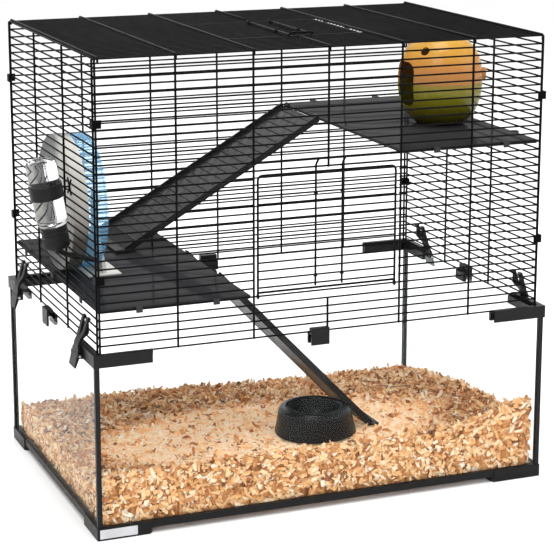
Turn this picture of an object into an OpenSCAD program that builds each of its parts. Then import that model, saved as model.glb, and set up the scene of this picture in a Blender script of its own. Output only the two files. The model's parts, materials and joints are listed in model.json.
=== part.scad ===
// Hamster cage: a glass tank with a welded wire top, two shelves, two ramps and its fittings.
// Millimetres. X runs along the front, the front faces -Y, Z is up from the surface it stands on.

/* [Tank] */
// Overall width over the feet
base_w = 600; // [560:5:720]
// Overall depth over the feet
base_d = 404; // [384:4:488]
// Height of the glass rim above the table
tank_h = 226; // [186:1:276]
// Thickness of the glass
glass_t = 5; // [4:0.5:6]
// Height of the feet
foot_h = 16; // [14:1:20]
// Length of a foot's arm along the front
foot_arm_x = 70; // [50:1:90]
// Length of a foot's arm along the side
foot_arm_y = 62; // [45:1:80]
// Length of a rim bracket's arm along the front
bracket_arm_x = 74; // [50:1:90]
// Length of a rim bracket's arm along the side
bracket_arm_y = 76; // [70:1:90]
// Length of the small rim clips
clip_len = 24; // [16:1:32]

/* [Wire top] */
// Spaces between the level wires, bottom to top
wall_gaps = 34; // [31:1:41]
// Spacing of the level wires
wire_pitch = 10.235; // [9.9:0.1:12.3]
// Diameter of the level wires
wire_d = 2.2; // [1.8:0.1:2.4]
// Diameter of the uprights
upright_d = 2.8; // [2.4:0.1:3.2]
// Spaces between the roof's wires, front to back
roof_gaps = 37; // [36:1:38]

/* [Doors] */
// Wire that the front door hangs on
front_door_row = 5; // [4:1:6]
// Spaces that the front door's opening spans
front_door_rows = 15; // [12:1:18]
// Roof wire at the front edge of the roof door's opening
roof_door_first = 10; // [8:1:12]
// Roof wire that the roof door hangs on
roof_door_last = 26; // [24:1:28]
// Space between a door's frame and the wires beside it
door_gap = 6; // [4:0.5:8]

/* [Shelves and ramps] */
// Wire that carries the lower shelf
lower_row = 5; // [4:1:6]
// Wire that carries the upper shelf
upper_row = 21; // [19:1:22]
// Thickness of the shelves
shelf_t = 5; // [4:0.5:6]
// Width of the ramps
ramp_w = 126; // [105:1:130]
// Slope of the upper ramp in degrees
upper_slope = 30; // [28:1:33]
// Slope of the lower ramp in degrees
lower_slope = 46.4; // [44:0.2:50]
// Thickness of the ramp boards
ramp_t = 3; // [2.5:0.5:4]

/* [Wheel] */
// Outer radius of the running wheel
wheel_r = 85.3; // [70:0.1:90]
// Width of the running wheel
wheel_w = 44; // [40:1:50]
// Width of the opaque part of the drum
drum_w = 19; // [14:1:26]
// Radius of the axle
axle_r = 3; // [2.5:0.1:4]
// Running clearance of the axle, on the radius
axle_fit = 0.05; // [0.03:0.01:0.1]

/* [Bottle] */
// Outer radius of the water bottle
bottle_r = 18.7; // [16:0.1:20]
// Length of the bottle's body
bottle_len = 82; // [70:1:98]
// Lean of the bottle away from the wires, in degrees
bottle_lean = 10; // [8:0.5:12]
// Outer radius of the drinking spout
spout_r = 3.2; // [2.8:0.1:3.3]

/* [Hut and dish] */
// Outer radius of the hut
hut_r = 55.5; // [46:0.5:56]
// Radius of the hut's flat bottom
hut_foot_r = 28; // [24:0.5:32]
// Width of the hut's entrance
hut_door_w = 46; // [38:1:50]
// Height of the hut's entrance
hut_door_h = 58; // [50:1:62]
// Radius of the dish's foot
dish_foot_r = 54; // [46:0.5:56]
// Radius of the dish's rim
dish_rim_r = 37.5; // [34:0.5:40]
// Height of the dish
dish_h = 36; // [30:0.5:38]

/* [Bedding] */
// Depth of the bedding at the middle of the tank, from the table
bedding_z = 50; // [42:1:56]

/* [Hidden] */

glass_colour = [0.8, 0.88, 0.88, 0.3];
black_metal = [0.10, 0.10, 0.11];
dark_plastic = [0.22, 0.22, 0.23];
latch_grey = [0.38, 0.38, 0.40];

hw = base_w / 2;                 // half width over the feet
hd = base_d / 2;                 // half depth over the feet
fn = 48;                         // sides of the round surfaces
weld = 0.35;                     // how far crossing wires sink into each other

// Tank: each ring is measured as an inset from the feet's outer faces
rail_inset = 1.5;
glass_inset = 2.5;
post_inset = 1;
post_w = 6;
rail_w = 7;
rail_z = 7;                      // underside of the rails
stand_at = [18.611, 0.925, 0];   // middle of the tank, seen from the origin
base_z = rail_z + 2;             // underside of the base glass
bracket_proud = 0.5;             // brackets stand this far outside the feet
ledge_t = 0.9;                   // bracket web on top of the glass
ledge_z = tank_h + ledge_t;      // what the wire top rests on
bracket_top = ledge_z + 3.6;

// Wire top
cage_x = hw - 10.5;              // plane of the side walls' level wires
cage_y = hd - 10;                // plane of the front and back walls' level wires
stack = wire_d / 2 + upright_d / 2 - weld - 0.25;  // from level wires to uprights, centre to centre
wire_z0 = ledge_z + wire_d / 2;
roof_z = wire_z(wall_gaps);
bays = 6;                        // bays along the front
bay = 2 * cage_x / bays;
side_end = cage_y - 2.5;         // last upright of the side walls
side_xs = [-side_end, -cage_y / 3, cage_y / 3, side_end];
roof_pitch = 2 * cage_y / roof_gaps;

// Doors
door_hw = bay - door_gap;        // half width of the doors
eye_gap = 0.35;                  // slack of the wire loops
eye_in = wire_d / 2 + eye_gap;
eye_out = eye_in + 2.2;
hinge_reach = 4.3;               // from a hinge wire to the first bar of its door
guide_out = eye_in + 1.25;
latch_stack = 3.35;              // from a door's plane to its sliding latch
front_z0 = wire_z(front_door_row);
front_z1 = wire_z(front_door_row + front_door_rows);
door_top = front_z1 - door_gap;
corner_r = 6;

// Shelves and ramps
shelf_rise = 2.8;                // shelf top above its carrying wire
lower_z = wire_z(lower_row) + shelf_rise;
upper_z = wire_z(upper_row) + shelf_rise;
shelf_x = cage_x - wire_d / 2 - 0.8;
shelf_y = cage_y - wire_d / 2 - 0.9;
lower_edge = -bay - 2.5;         // free edge of the lower shelf
upper_edge = bay + 1.5;          // free edge of the upper shelf
shelf_bead = shelf_t / 2;        // rounded bead along a shelf's free edge
claw_in = shelf_bead + 0.35;
claw_t = 2.2;
lip_h = 8;
toe = 14;                        // flat end of a ramp
upper_ramp_y = shelf_y - 1.5 - ramp_w / 2;
lower_ramp_y = -9;

// Wheel
wheel_y = 10;
wheel_x0 = -cage_x + 5.5;        // closed side of the wheel
wheel_z = lower_z + 3 + wheel_r;
wheel_t = 2.5;
stand_x = wheel_x0 + wheel_w + 4;
stand_t = 5;
hub_r = 10;
hub_len = 14;

// Bottle
bottle_y = -95;
spout_z = (wire_z(9) + wire_z(10)) / 2;
cap_len = 28;
cap_r = 16.5;
cap_foot = [-cage_x - 21.5, bottle_y, spout_z + 13];   // middle of the cap's underside
spout_bend = [-cage_x - 10.5, bottle_y + 4, spout_z + 2.5];
spout_way = [37.5, -9, -8.9] / norm([37.5, -9, -8.9]);        // inwards along the spout
spout_tip = spout_bend + 39.6 * spout_way;

// Hut and dish
hut_at = [cage_x - 60, -33];
hut_square = 2.4;                // 2 makes the hut a ball, more makes it squarer
hut_half = 62;                   // half of its height, before the foot is cut flat
hut_z = upper_z + hut_half * pow(1 - pow(hut_foot_r / hut_r, hut_square), 1 / hut_square);
hut_t = 2.5;
dish_at = [40, -61];
dish_t = 3;

function wire_z(row) = wire_z0 + wire_pitch * row;
function bay_x(i) = -cage_x + i * bay;
function roof_y(row) = -cage_y + roof_pitch * row;

// ---- general helpers ----

// Box given by its lowest and highest corners
module box(a, b) {
    translate(a) cube(b - a);
}

// Frame that is hx, hy half wide outside, w thick and lies between z0 and z1
module ring(inset_out, inset_in, z0, z1) {
    difference() {
        box([-hw + inset_out, -hd + inset_out, z0], [hw - inset_out, hd - inset_out, z1]);
        box([-hw + inset_in, -hd + inset_in, z0 - 1], [hw - inset_in, hd - inset_in, z1 + 1]);
    }
}

// Plan of a corner piece with chamfered arm ends, placed at corner (sx, sy)
module corner_block(sx, sy, ax, ay, z0, z1, chamfer) {
    translate([sx * hw, sy * hd, z0])
        mirror([sx > 0 ? 1 : 0, 0, 0]) mirror([0, sy > 0 ? 1 : 0, 0])
            linear_extrude(z1 - z0)
                polygon([[-2, -2], [ax - chamfer, -2], [ax, chamfer], [ax, ay], [chamfer, ay],
                         [-2, ay - chamfer]]);
}

// Wire along X, Y or Z; six flats on level wires and eight on uprights
module wire_x(x0, x1, y, z, d = wire_d, sides = 6) {
    translate([x0, y, z]) rotate([0, 90, 0]) cylinder(h = x1 - x0, d = d, $fn = sides);
}
module wire_y(y0, y1, x, z, d = wire_d, sides = 6) {
    translate([x, y0, z]) rotate([-90, 0, 0]) rotate([0, 0, 90]) cylinder(h = y1 - y0, d = d, $fn = sides);
}
module wire_up(x, y, z0, z1, d = upright_d, sides = 8) {
    translate([x, y, z0]) cylinder(h = z1 - z0, d = d, $fn = sides);
}

// Round rod from point a to point b
module rod(a, b, d, sides = 24) {
    v = b - a;
    translate(a)
        rotate([0, acos(v[2] / norm(v)), atan2(v[1], v[0])])
            cylinder(h = norm(v), d = d, $fn = sides);
}

// Closed loop of wire, lying in the XY plane
module eye(r_in, r_out, h) {
    difference() {
        cylinder(h = h, r = r_out, center = true, $fn = fn);
        cylinder(h = h + 1, r = r_in, center = true, $fn = fn);
    }
}

// ---- tank ----

module base_glass() {
    color(glass_colour)
        box([-hw + rail_inset + rail_w, -hd + rail_inset + rail_w, base_z],
            [hw - rail_inset - rail_w, hd - rail_inset - rail_w, base_z + glass_t]);
}

module long_glass(side) {
    y_out = hd - glass_inset;
    x_end = hw - post_inset - post_w;
    color(glass_colour)
        mirror([0, side > 0 ? 1 : 0, 0])
            box([-x_end, -y_out, foot_h], [x_end, -y_out + glass_t, tank_h]);
}

module end_glass(side) {
    x_out = hw - glass_inset;
    y_end = hd - glass_inset - glass_t - 0.1;
    color(glass_colour)
        mirror([side > 0 ? 1 : 0, 0, 0])
            box([-x_out, -y_end, foot_h], [-x_out + glass_t, y_end, tank_h]);
}

module long_rail(side) {
    y_out = hd - rail_inset;
    color(black_metal)
        mirror([0, side > 0 ? 1 : 0, 0])
            box([-hw + rail_inset, -y_out, rail_z], [hw - rail_inset, -y_out + rail_w, foot_h]);
}

module end_rail(side) {
    x_out = hw - rail_inset;
    y_end = hd - rail_inset - rail_w;
    color(black_metal)
        mirror([side > 0 ? 1 : 0, 0, 0])
            box([-x_out, -y_end, rail_z], [-x_out + rail_w, y_end, foot_h]);
}

module post(sx, sy) {
    x_out = hw - post_inset;
    y_out = hd - post_inset;
    color(black_metal)
        mirror([sx > 0 ? 1 : 0, 0, 0]) mirror([0, sy > 0 ? 1 : 0, 0])
            box([-x_out, -y_out, foot_h], [-x_out + post_w, -y_out + post_w, tank_h]);
}

// Foot: a floor under the rails and a thin wall outside them
module foot(sx, sy) {
    color(dark_plastic)
        intersection() {
            union() {
                ring(0, 20, 0, rail_z);
                ring(0, rail_inset, 0, foot_h);
            }
            corner_block(sx, sy, foot_arm_x, foot_arm_y, 0, foot_h, 5);
        }
}

// Blank plate on the front left foot
module foot_plate() {
    color([0.75, 0.76, 0.78])
        box([-hw + 3, -hd - 0.8, 2.5], [-hw + 50, -hd, foot_h - 2]);
}

// Channel that straddles the glass and carries the wire top on its inner flange
module rim_channel(low, high, proud) {
    clear_in = glass_inset + glass_t + 0.2;
    difference() {
        union() {
            ring(-proud, clear_in, low, high);
            ring(clear_in - 0.01, clear_in + 4.6, low + 1, ledge_z);
        }
        ring(post_inset, clear_in, low - 1, tank_h);
        box([-cage_x - 3.6, -cage_y - 3.6, ledge_z], [cage_x + 3.6, cage_y + 3.6, high + 1]);
    }
}

lug_y = cage_y - 49;             // middle of the side latches
lug_z = tank_h - 8;
lug_x = hw + bracket_proud + 3.7;
lug_r = 3;
pin_r = 1.5;
pin_fit = 0.05;
latch_w = 24;
ear_t = 2.6;
ear_gap = 0.4;

module bracket(sx, sy) {
    color(black_metal)
        difference() {
            union() {
                intersection() {
                    rim_channel(tank_h - 11, bracket_top, bracket_proud);
                    corner_block(sx, sy, bracket_arm_x, bracket_arm_y, tank_h - 12, bracket_top + 1, 3);
                }
                for (end = [-1, 1])
                    translate([sx * lug_x, sy * lug_y + end * (latch_w / 2 + ear_gap + ear_t / 2), lug_z])
                        ear(sx);
            }
            translate([sx * lug_x, sy * lug_y, lug_z])
                rotate([90, 0, 0]) cylinder(h = 2 * latch_w, r = pin_r, center = true, $fn = fn);
        }
}

// Ear that holds a latch pin, with its root in the bracket's outer flange
module ear(sx) {
    rotate([90, 0, 0]) cylinder(h = ear_t, r = lug_r, center = true, $fn = fn);
    translate([-sx * 2.2, 0, 0]) cube([4.4, ear_t, 2 * lug_r], center = true);
}

// Side latch: finger tab below the pin, two prongs that reach over a side wire
module latch(sx, sy) {
    hook_z = wire_z(3) + wire_d / 2 + 0.5;
    hook_u = cage_x - 0.5;
    tab = [[4.5, -15], [6.4, -14.4], [2.6, 2.2], [-2.6, 1.6], [-0.2, -3]];
    arm_in = cage_x + wire_d / 2 + 0.7 - lug_x;
    arm = [[-2.3, 0], [2.6, 0], [0.2, 14], [-6.6, 28],
           [hook_u - lug_x + 3.5, hook_z + 3 - lug_z], [hook_u - lug_x, hook_z + 2.4 - lug_z],
           [hook_u - lug_x, hook_z - lug_z], [arm_in, hook_z - lug_z], [arm_in, 27], [-2.6, 14.5]];
    color(latch_grey)
        translate([sx * lug_x, sy * lug_y, lug_z])
            mirror([sx > 0 ? 0 : 1, 0, 0])
                difference() {
                    union() {
                        rotate([90, 0, 0]) cylinder(h = latch_w, r = lug_r, center = true, $fn = fn);
                        rotate([90, 0, 0]) linear_extrude(latch_w, center = true) polygon(tab);
                        rotate([90, 0, 0]) linear_extrude(latch_w, center = true) polygon(arm);
                    }
                    rotate([90, 0, 0])
                        cylinder(h = latch_w + 1, r = pin_r + pin_fit, center = true, $fn = fn);
                    latch_notch();
                }
}

// Notch between the prongs, and the slopes beside the waist
module latch_notch() {
    rotate([90, 0, 90]) translate([0, 0, -20])
        linear_extrude(40) polygon([[-5, 50], [-5, 30], [0, 22], [5, 30], [5, 50]]);
    for (end = [0, 1])
        mirror([0, end, 0]) rotate([90, 0, 90]) translate([0, 0, -20])
            linear_extrude(40) polygon([[13, 6], [8.5, 10], [8.5, 20], [13, 27]]);
}

module latch_pins() {
    color([0.6, 0.6, 0.62])
        for (sx = [-1, 1], sy = [-1, 1])
            translate([sx * lug_x, sy * lug_y, lug_z])
                rotate([90, 0, 0])
                    cylinder(h = latch_w + 2 * (ear_gap + ear_t) + 1, r = pin_r, center = true, $fn = fn);
}

// Small clips over the rim at the middle of each side
module rim_clips() {
    half = clip_len / 2;
    color(black_metal)
        intersection() {
            rim_channel(tank_h - 13, bracket_top + 4, 1.6);
            union() {
                for (end = [-1, 1]) {
                    translate([-half - 1, end * hd, tank_h]) cube([clip_len, 40, 60], center = true);
                    translate([end * hw, half - 1, tank_h]) cube([40, clip_len, 60], center = true);
                }
            }
        }
}

// ---- wire top ----

// Front or back wall; open says whether the front door's opening is left out
module long_wall(side, open) {
    y = -cage_y;
    last = front_door_row + front_door_rows;
    mirror([0, side > 0 ? 1 : 0, 0])
        union() {
            for (row = [0 : wall_gaps]) {
                if (open && row > front_door_row && row < last) {
                    wire_x(-cage_x - 1, -bay + 0.6, y, wire_z(row));
                    wire_x(bay - 0.6, cage_x + 1, y, wire_z(row));
                } else if (open && row == front_door_row) {
                    wire_x(-cage_x - 1, -bay, y, wire_z(row));
                    wire_x(-bay - 0.5, bay + 0.5, y, wire_z(row), wire_d, fn);
                    wire_x(bay, cage_x + 1, y, wire_z(row));
                } else
                    wire_x(-cage_x - 1, cage_x + 1, y, wire_z(row));
            }
            for (i = [0 : bays]) {
                if (open && i == bays / 2) {
                    wire_up(0, y - stack, ledge_z + 0.1, wire_z(front_door_row - 1) + 1);
                    wire_up(0, y - stack, wire_z(last) - 1, roof_z + 0.2);
                } else
                    wire_up(bay_x(i), y - stack, ledge_z + 0.1, roof_z + 0.2);
            }
        }
}

module end_wall(side) {
    mirror([side > 0 ? 1 : 0, 0, 0])
        union() {
            for (row = [0 : wall_gaps])
                wire_y(-side_end - 1, side_end + 1, -cage_x, wire_z(row));
            for (y = side_xs)
                wire_up(-cage_x - stack, y, ledge_z + 0.1, roof_z + 0.2);
        }
}

module front_panel() {
    color(black_metal) long_wall(-1, true);
}

module back_panel() {
    color(black_metal) long_wall(1, false);
}

module left_panel() {
    color(black_metal) end_wall(-1);
}

module right_panel() {
    color(black_metal) end_wall(1);
}

// Roof: wires along X, cross wires on top whose ends hook down over the front and back walls
module roof_panel() {
    x_end = cage_x - 1.7;
    cross_z = roof_z + stack;
    hook_y = cage_y + stack + upright_d + 0.4;
    color(black_metal)
        union() {
            for (row = [1 : roof_gaps - 1]) {
                if (row > roof_door_first && row < roof_door_last) {
                    wire_x(-x_end, -bay + 0.6, roof_y(row), roof_z);
                    wire_x(bay - 0.6, x_end, roof_y(row), roof_z);
                } else if (row == roof_door_last) {
                    wire_x(-x_end, -bay, roof_y(row), roof_z);
                    wire_x(-bay - 0.5, bay + 0.5, roof_y(row), roof_z, wire_d, fn);
                    wire_x(bay, x_end, roof_y(row), roof_z);
                } else
                    wire_x(-x_end, x_end, roof_y(row), roof_z);
            }
            for (i = [0 : bays]) {
                x = i == 0 ? -x_end + 1.2 : i == bays ? x_end - 1.2 : bay_x(i);
                if (i == bays / 2) {
                    wire_y(-hook_y, roof_y(roof_door_first - 1) + 1, x, cross_z, upright_d, 8);
                    wire_y(roof_y(roof_door_last + 1) - 1, hook_y, x, cross_z, upright_d, 8);
                } else
                    wire_y(-hook_y, hook_y, x, cross_z, upright_d, 8);
                for (side = [-1, 1])
                    wire_up(x, side * hook_y, roof_z - 5, cross_z + upright_d / 2);
            }
        }
}

// Bands that tie the corner uprights together
module corner_clips() {
    band = 1.8;
    leg = 11;
    out_x = cage_x + stack + upright_d / 2 + 0.1;
    out_y = cage_y + stack + upright_d / 2 + 0.1;
    color(black_metal)
        for (sx = [0, 1], sy = [0, 1], row = [9, 27])
            mirror([sx, 0, 0]) mirror([0, sy, 0])
                translate([-out_x - band, -out_y - band, wire_z(row) - 7])
                    difference() {
                        cube([leg, leg, 10]);
                        translate([band, band, -1]) cube([leg, leg, 12]);
                    }
}

// Hinge loops of a door: they turn on the round stretch of the hinge wire, which runs along X
module hinge_eyes() {
    for (x = [-door_hw, door_hw])
        translate([x, 0, 0]) rotate([0, 90, 0]) eye(eye_in, eye_out, 3.2);
}

// Door frame in the XZ plane: hinge wire at z = 0, rounded far corners, top bar at z = h
module door_frame(h) {
    d = upright_d;
    for (side = [-1, 1]) {
        wire_up(side * door_hw, 0, eye_in + 1, h - corner_r, d, 24);
        translate([side * (door_hw - corner_r), 0, h - corner_r])
            rotate([90, 0, 0])
                rotate([0, 0, side > 0 ? 0 : 90])
                    rotate_extrude(angle = 90, $fn = fn) translate([corner_r, 0]) circle(d = d, $fn = 24);
    }
    wire_x(-door_hw + corner_r, door_hw - corner_r, 0, h, d, 24);
    wire_x(-door_hw, door_hw, 0, hinge_reach, d, 24);
}

leg_xs = [-17, 18];              // legs of the front door's latch
roof_leg_xs = [-8, 22];          // legs of the roof door's latch

// Guide loops that hold a sliding latch; z values are measured from the hinge
module latch_guides(xs, zs) {
    for (x = xs, z = zs)
        translate([x, -latch_stack, z]) eye(eye_in, guide_out, 3);
}

module front_door() {
    h = door_top - front_z0;
    color(black_metal)
        translate([0, -cage_y, front_z0])
            union() {
                door_frame(h);
                hinge_eyes();
                for (row = [1 : front_door_rows - 1])
                    if (row * wire_pitch < h - 2)
                        wire_x(-door_hw, door_hw, 0, row * wire_pitch);
                latch_guides(leg_xs, [2 * wire_pitch, (front_door_rows - 3) * wire_pitch]);
            }
}

// Sliding latch: two legs, and a handle bent outwards above the far bar
module slide_latch(xs, z0, z1, out, up) {
    d = wire_d;
    y = -latch_stack;
    for (x = xs) {
        wire_up(x, y, z0, z1, d, 24);
        translate([x, y, z1]) sphere(d = d, $fn = 24);
        rod([x, y, z1], [x, y - out, z1 + up], d);
        translate([x, y - out, z1 + up]) sphere(d = d, $fn = 24);
    }
    wire_x(xs[0], xs[1], y - out, z1 + up, d, 24);
}

module front_door_latch() {
    color(black_metal)
        translate([0, -cage_y, front_z0])
            union() slide_latch(leg_xs, 8, front_z1 - front_z0 + 3.5, 9, 9);
}

roof_door_h = roof_y(roof_door_last) - roof_y(roof_door_first) - 8;

module roof_place() {
    translate([0, roof_y(roof_door_last), roof_z]) rotate([90, 0, 0]) mirror([0, 1, 0]) children();
}

module roof_door() {
    rows = roof_door_last - roof_door_first;
    color(black_metal)
        roof_place()
            union() {
                door_frame(roof_door_h);
                hinge_eyes();
                for (row = [1 : rows - 1])
                    if (row * roof_pitch < roof_door_h - 2)
                        wire_x(-door_hw, door_hw, 0, row * roof_pitch);
                latch_guides(roof_leg_xs, [3 * roof_pitch, (rows - 4) * roof_pitch]);
            }
}

module roof_door_latch() {
    color(black_metal)
        roof_place()
            union() slide_latch(roof_leg_xs, 22, roof_door_h + 9, 3, 4);
}

// ---- shelves and ramps ----

// Shelf from the wall at x = -shelf_x to its free edge; built for the left side
module shelf(edge, top, hooks) {
    z0 = top - shelf_t;
    hook_z = top - shelf_rise + wire_d / 2 + 0.3;
    drop = 5;
    union() {
        box([-shelf_x, -shelf_y, z0], [edge - shelf_bead, shelf_y, top]);
        translate([edge - shelf_bead, -shelf_y, z0 + shelf_bead])
            rotate([-90, 0, 0]) cylinder(h = 2 * shelf_y, r = shelf_bead, $fn = fn);
        for (side = [0, 1], x = hooks)
            mirror([0, side, 0]) {
                box([x - 4, -cage_y - 4.5, hook_z], [x + 4, -shelf_y + 3, hook_z + 2]);
                box([x - 4, -cage_y - 4.5, hook_z - drop], [x + 4, -cage_y - 2.6, hook_z + 2]);
            }
        for (y = [-2, 0, 2] * cage_y / 3) {
            box([-cage_x - 4.5, y - 4, hook_z], [-shelf_x + 3, y + 4, hook_z + 2]);
            box([-cage_x - 4.5, y - 4, hook_z - drop], [-cage_x - 2.6, y + 4, hook_z + 2]);
        }
    }
}

module lower_shelf() {
    color(dark_plastic)
        shelf(lower_edge, lower_z, [bay_x(0.5), bay_x(1.5)]);
}

module upper_shelf() {
    color(dark_plastic)
        mirror([1, 0, 0]) shelf(-upper_edge, upper_z, [bay_x(0.5), bay_x(1.5)]);
}

// Ramp that hangs on a shelf's bead at the origin and slopes down towards +X.
// run is the slant length, slope its angle; board_drop is how far the board's top lies below the bead
module ramp(run, slope) {
    half = ramp_w / 2;
    lip = 3;
    ridge = 13;
    start = claw_in + claw_t - 0.6;
    union() {
        rotate([0, slope, 0]) {
            box([start, -half + 1, -ramp_t / 2], [run, half - 1, ramp_t / 2]);
            for (side = [0, 1])
                mirror([0, side, 0])
                    box([start - 0.5, -half, -ramp_t / 2 - 0.5], [run + 0.4, -half + lip, lip_h - ramp_t / 2]);
            for (s = [start + 8 : ridge : run - 8])
                translate([s, -half + 1.7, ramp_t / 2 - 0.2])
                    rotate([-90, 0, 0]) cylinder(h = ramp_w - 3.4, r = 1.3, $fn = 16);
        }
        rotate([0, slope, 0]) translate([run, 0, 0]) rotate([0, -slope, 0])
            box([-1.5, -half + 0.6, -ramp_t / 2 - 0.2], [toe, half - 0.6, ramp_t / 2 - 0.4]);
        for (side = [-1, 1])
            translate([0, side * (half - 12), 0]) claw(slope);
    }
}

// Open ring that wraps the shelf's bead and leaves room for the shelf itself
module claw(slope) {
    rotate([90, 0, 0]) rotate([0, 0, -slope - 65])
        translate([0, 0, -6])
            rotate_extrude(angle = 172, $fn = fn) translate([claw_in, 0]) square([claw_t, 12]);
}

upper_pivot = [upper_edge + shelf_bead, upper_z - shelf_bead];
lower_pivot = [lower_edge - shelf_bead, lower_z - shelf_bead];
rest_gap = ramp_t / 2 + 0.9;     // toe's middle above what it stands on
upper_run = (upper_pivot[1] - lower_z - rest_gap) / sin(upper_slope);
lower_run = (lower_pivot[1] - bedding_z - rest_gap) / sin(lower_slope);

module upper_ramp() {
    color(dark_plastic)
        translate([upper_pivot[0], upper_ramp_y, upper_pivot[1]])
            mirror([1, 0, 0]) ramp(upper_run, upper_slope);
}

module lower_ramp() {
    color(dark_plastic)
        translate([lower_pivot[0], lower_ramp_y, lower_pivot[1]])
            ramp(lower_run, lower_slope);
}

// ---- wheel ----

module on_wheel_axis(x) {
    translate([x, wheel_y, wheel_z]) rotate([0, 90, 0]) children();
}

// Opaque drum: closed side, short wall and the hub that runs on the axle
module wheel_drum() {
    color([0.86, 0.84, 0.80])
        on_wheel_axis(wheel_x0)
            difference() {
                union() {
                    difference() {
                        cylinder(h = drum_w, r = wheel_r, $fn = 96);
                        translate([0, 0, wheel_t]) cylinder(h = drum_w, r = wheel_r - wheel_t, $fn = 96);
                    }
                    cylinder(h = hub_len, r = hub_r, $fn = fn);
                }
                translate([0, 0, -1]) cylinder(h = hub_len + 2, r = axle_r + axle_fit, $fn = fn);
            }
}

// Translucent running ring with a narrow rim
module wheel_ring() {
    w = wheel_w - drum_w;
    color([0.55, 0.78, 0.95, 0.6])
        on_wheel_axis(wheel_x0 + drum_w)
            difference() {
                cylinder(h = w, r = wheel_r, $fn = 96);
                translate([0, 0, -1]) cylinder(h = w - 1, r = wheel_r - wheel_t, $fn = 96);
                cylinder(h = w + 1, r = wheel_r - wheel_t - 5, $fn = 96);
            }
}

// Stand: base plate on the shelf and an upright that carries the axle
module wheel_stand() {
    plate_t = 2;
    half = 50;
    neck = 9;
    color([0.88, 0.87, 0.84])
        difference() {
            union() {
                box([wheel_x0 + 27, wheel_y - half, lower_z], [stand_x + 22, wheel_y + half, lower_z + plate_t]);
                translate([stand_x, wheel_y, lower_z])
                    rotate([90, 0, 90]) linear_extrude(stand_t)
                        polygon([[-half + 8, 0], [half - 8, 0], [half - 8, 5], [neck, wheel_r * 0.6],
                                 [neck, wheel_z - lower_z], [-neck, wheel_z - lower_z],
                                 [-neck, wheel_r * 0.6], [-half + 8, 5]]);
                on_wheel_axis(stand_x) cylinder(h = stand_t, r = neck, $fn = fn);
            }
            on_wheel_axis(stand_x - 1) cylinder(h = stand_t + 2, r = axle_r, $fn = fn);
        }
}

module wheel_axle() {
    color([0.7, 0.7, 0.72])
        on_wheel_axis(wheel_x0 + 1) cylinder(h = stand_x + stand_t + 5 - wheel_x0 - 1, r = axle_r, $fn = fn);
}

module wheel_nut() {
    color([0.7, 0.7, 0.72])
        on_wheel_axis(stand_x + stand_t)
            difference() {
                cylinder(h = 4, r = 6, $fn = 6);
                translate([0, 0, -1]) cylinder(h = 6, r = axle_r, $fn = fn);
            }
}

// ---- bottle ----

// Places its children with the cap's underside at the origin and the bottle upwards
module on_bottle() {
    translate(cap_foot) rotate([0, -bottle_lean, 0]) children();
}

bottle_neck_r = 12;
bottle_wall = 1.5;

module bottle_body() {
    r = bottle_r;
    n = bottle_neck_r;
    w = bottle_wall;
    color([0.85, 0.88, 0.9, 0.5])
        on_bottle() translate([0, 0, cap_len - 12])
            rotate_extrude($fn = 64)
                polygon([[n - w, 0], [n, 0], [n, 12.05], [cap_r, 12.6], [r, 16], [r, 12 + bottle_len - 4],
                         [r - 4, 12 + bottle_len], [0, 12 + bottle_len], [0, 12 + bottle_len - w],
                         [r - 4 - w / 2, 12 + bottle_len - w], [r - w, 12 + bottle_len - 4 - w / 2],
                         [r - w, 16 + w / 2], [n - w, 13.4]]);
}

band_z = cap_len + 0.42 * bottle_len;
band_h = 17;

module bottle_band() {
    color(black_metal)
        on_bottle() translate([0, 0, band_z])
            difference() {
                cylinder(h = band_h, r = bottle_r + 1.6, $fn = 64);
                translate([0, 0, -1]) cylinder(h = band_h + 2, r = bottle_r, $fn = 64);
            }
}

// Wire hook between the band and the wall: a stem and an upright bar with turned ends
module bottle_hook() {
    mid = band_z + band_h / 2;
    lean = [cos(bottle_lean), sin(bottle_lean)];
    foot_x = cap_foot[0] + (bottle_r + 1.9) * lean[0] - mid * lean[1];
    foot_z = cap_foot[2] + mid * lean[0] + (bottle_r + 1.9) * lean[1];
    bar_x = -cage_x - 5;
    color(black_metal)
        union() {
            rod([foot_x, bottle_y, foot_z], [bar_x, bottle_y, foot_z], wire_d);
            for (side = [-1, 1]) {
                rod([bar_x, bottle_y, foot_z], [bar_x, bottle_y + 7 * side, foot_z + 9], wire_d);
                rod([bar_x, bottle_y, foot_z], [bar_x, bottle_y + 7 * side, foot_z - 9], wire_d);
                translate([bar_x, bottle_y + 7 * side, foot_z + 9]) sphere(d = wire_d, $fn = 24);
                translate([bar_x, bottle_y + 7 * side, foot_z - 9]) sphere(d = wire_d, $fn = 24);
            }
            translate([bar_x, bottle_y, foot_z]) sphere(d = 3, $fn = 24);
        }
}

module bottle_cap() {
    wall = cap_r - bottle_neck_r;
    color(black_metal)
        on_bottle()
            difference() {
                cylinder(h = cap_len, r = cap_r, $fn = 64);
                translate([0, 0, cap_len - 12]) cylinder(h = 13, r = cap_r - wall, $fn = 64);
                translate([0, 0, -1]) cylinder(h = cap_len, r = spout_r, $fn = fn);
            }
}

// Spout: down from the cap, round an elbow and level through the wires
module bottle_spout() {
    top = cap_foot + [0.7, 0.1, -4];
    color([0.2, 0.2, 0.21])
        union() {
            on_bottle() cylinder(h = cap_len - 13, r = spout_r, $fn = fn);
            on_bottle() translate([0, 0, -2]) cylinder(h = 2, r = 9, $fn = fn);
            on_bottle() translate([0, 0, -6.5]) cylinder(h = 5.5, r = 5, $fn = fn);
            rod(top, spout_bend, 2 * spout_r, fn);
            translate(spout_bend) sphere(r = spout_r + 0.3, $fn = fn);
            difference() {
                rod(spout_bend, spout_tip, 2 * spout_r, fn);
                rod(spout_tip - 4 * spout_way, spout_tip + 4 * spout_way, 2 * spout_r - 1.6, fn);
            }
        }
}

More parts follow.
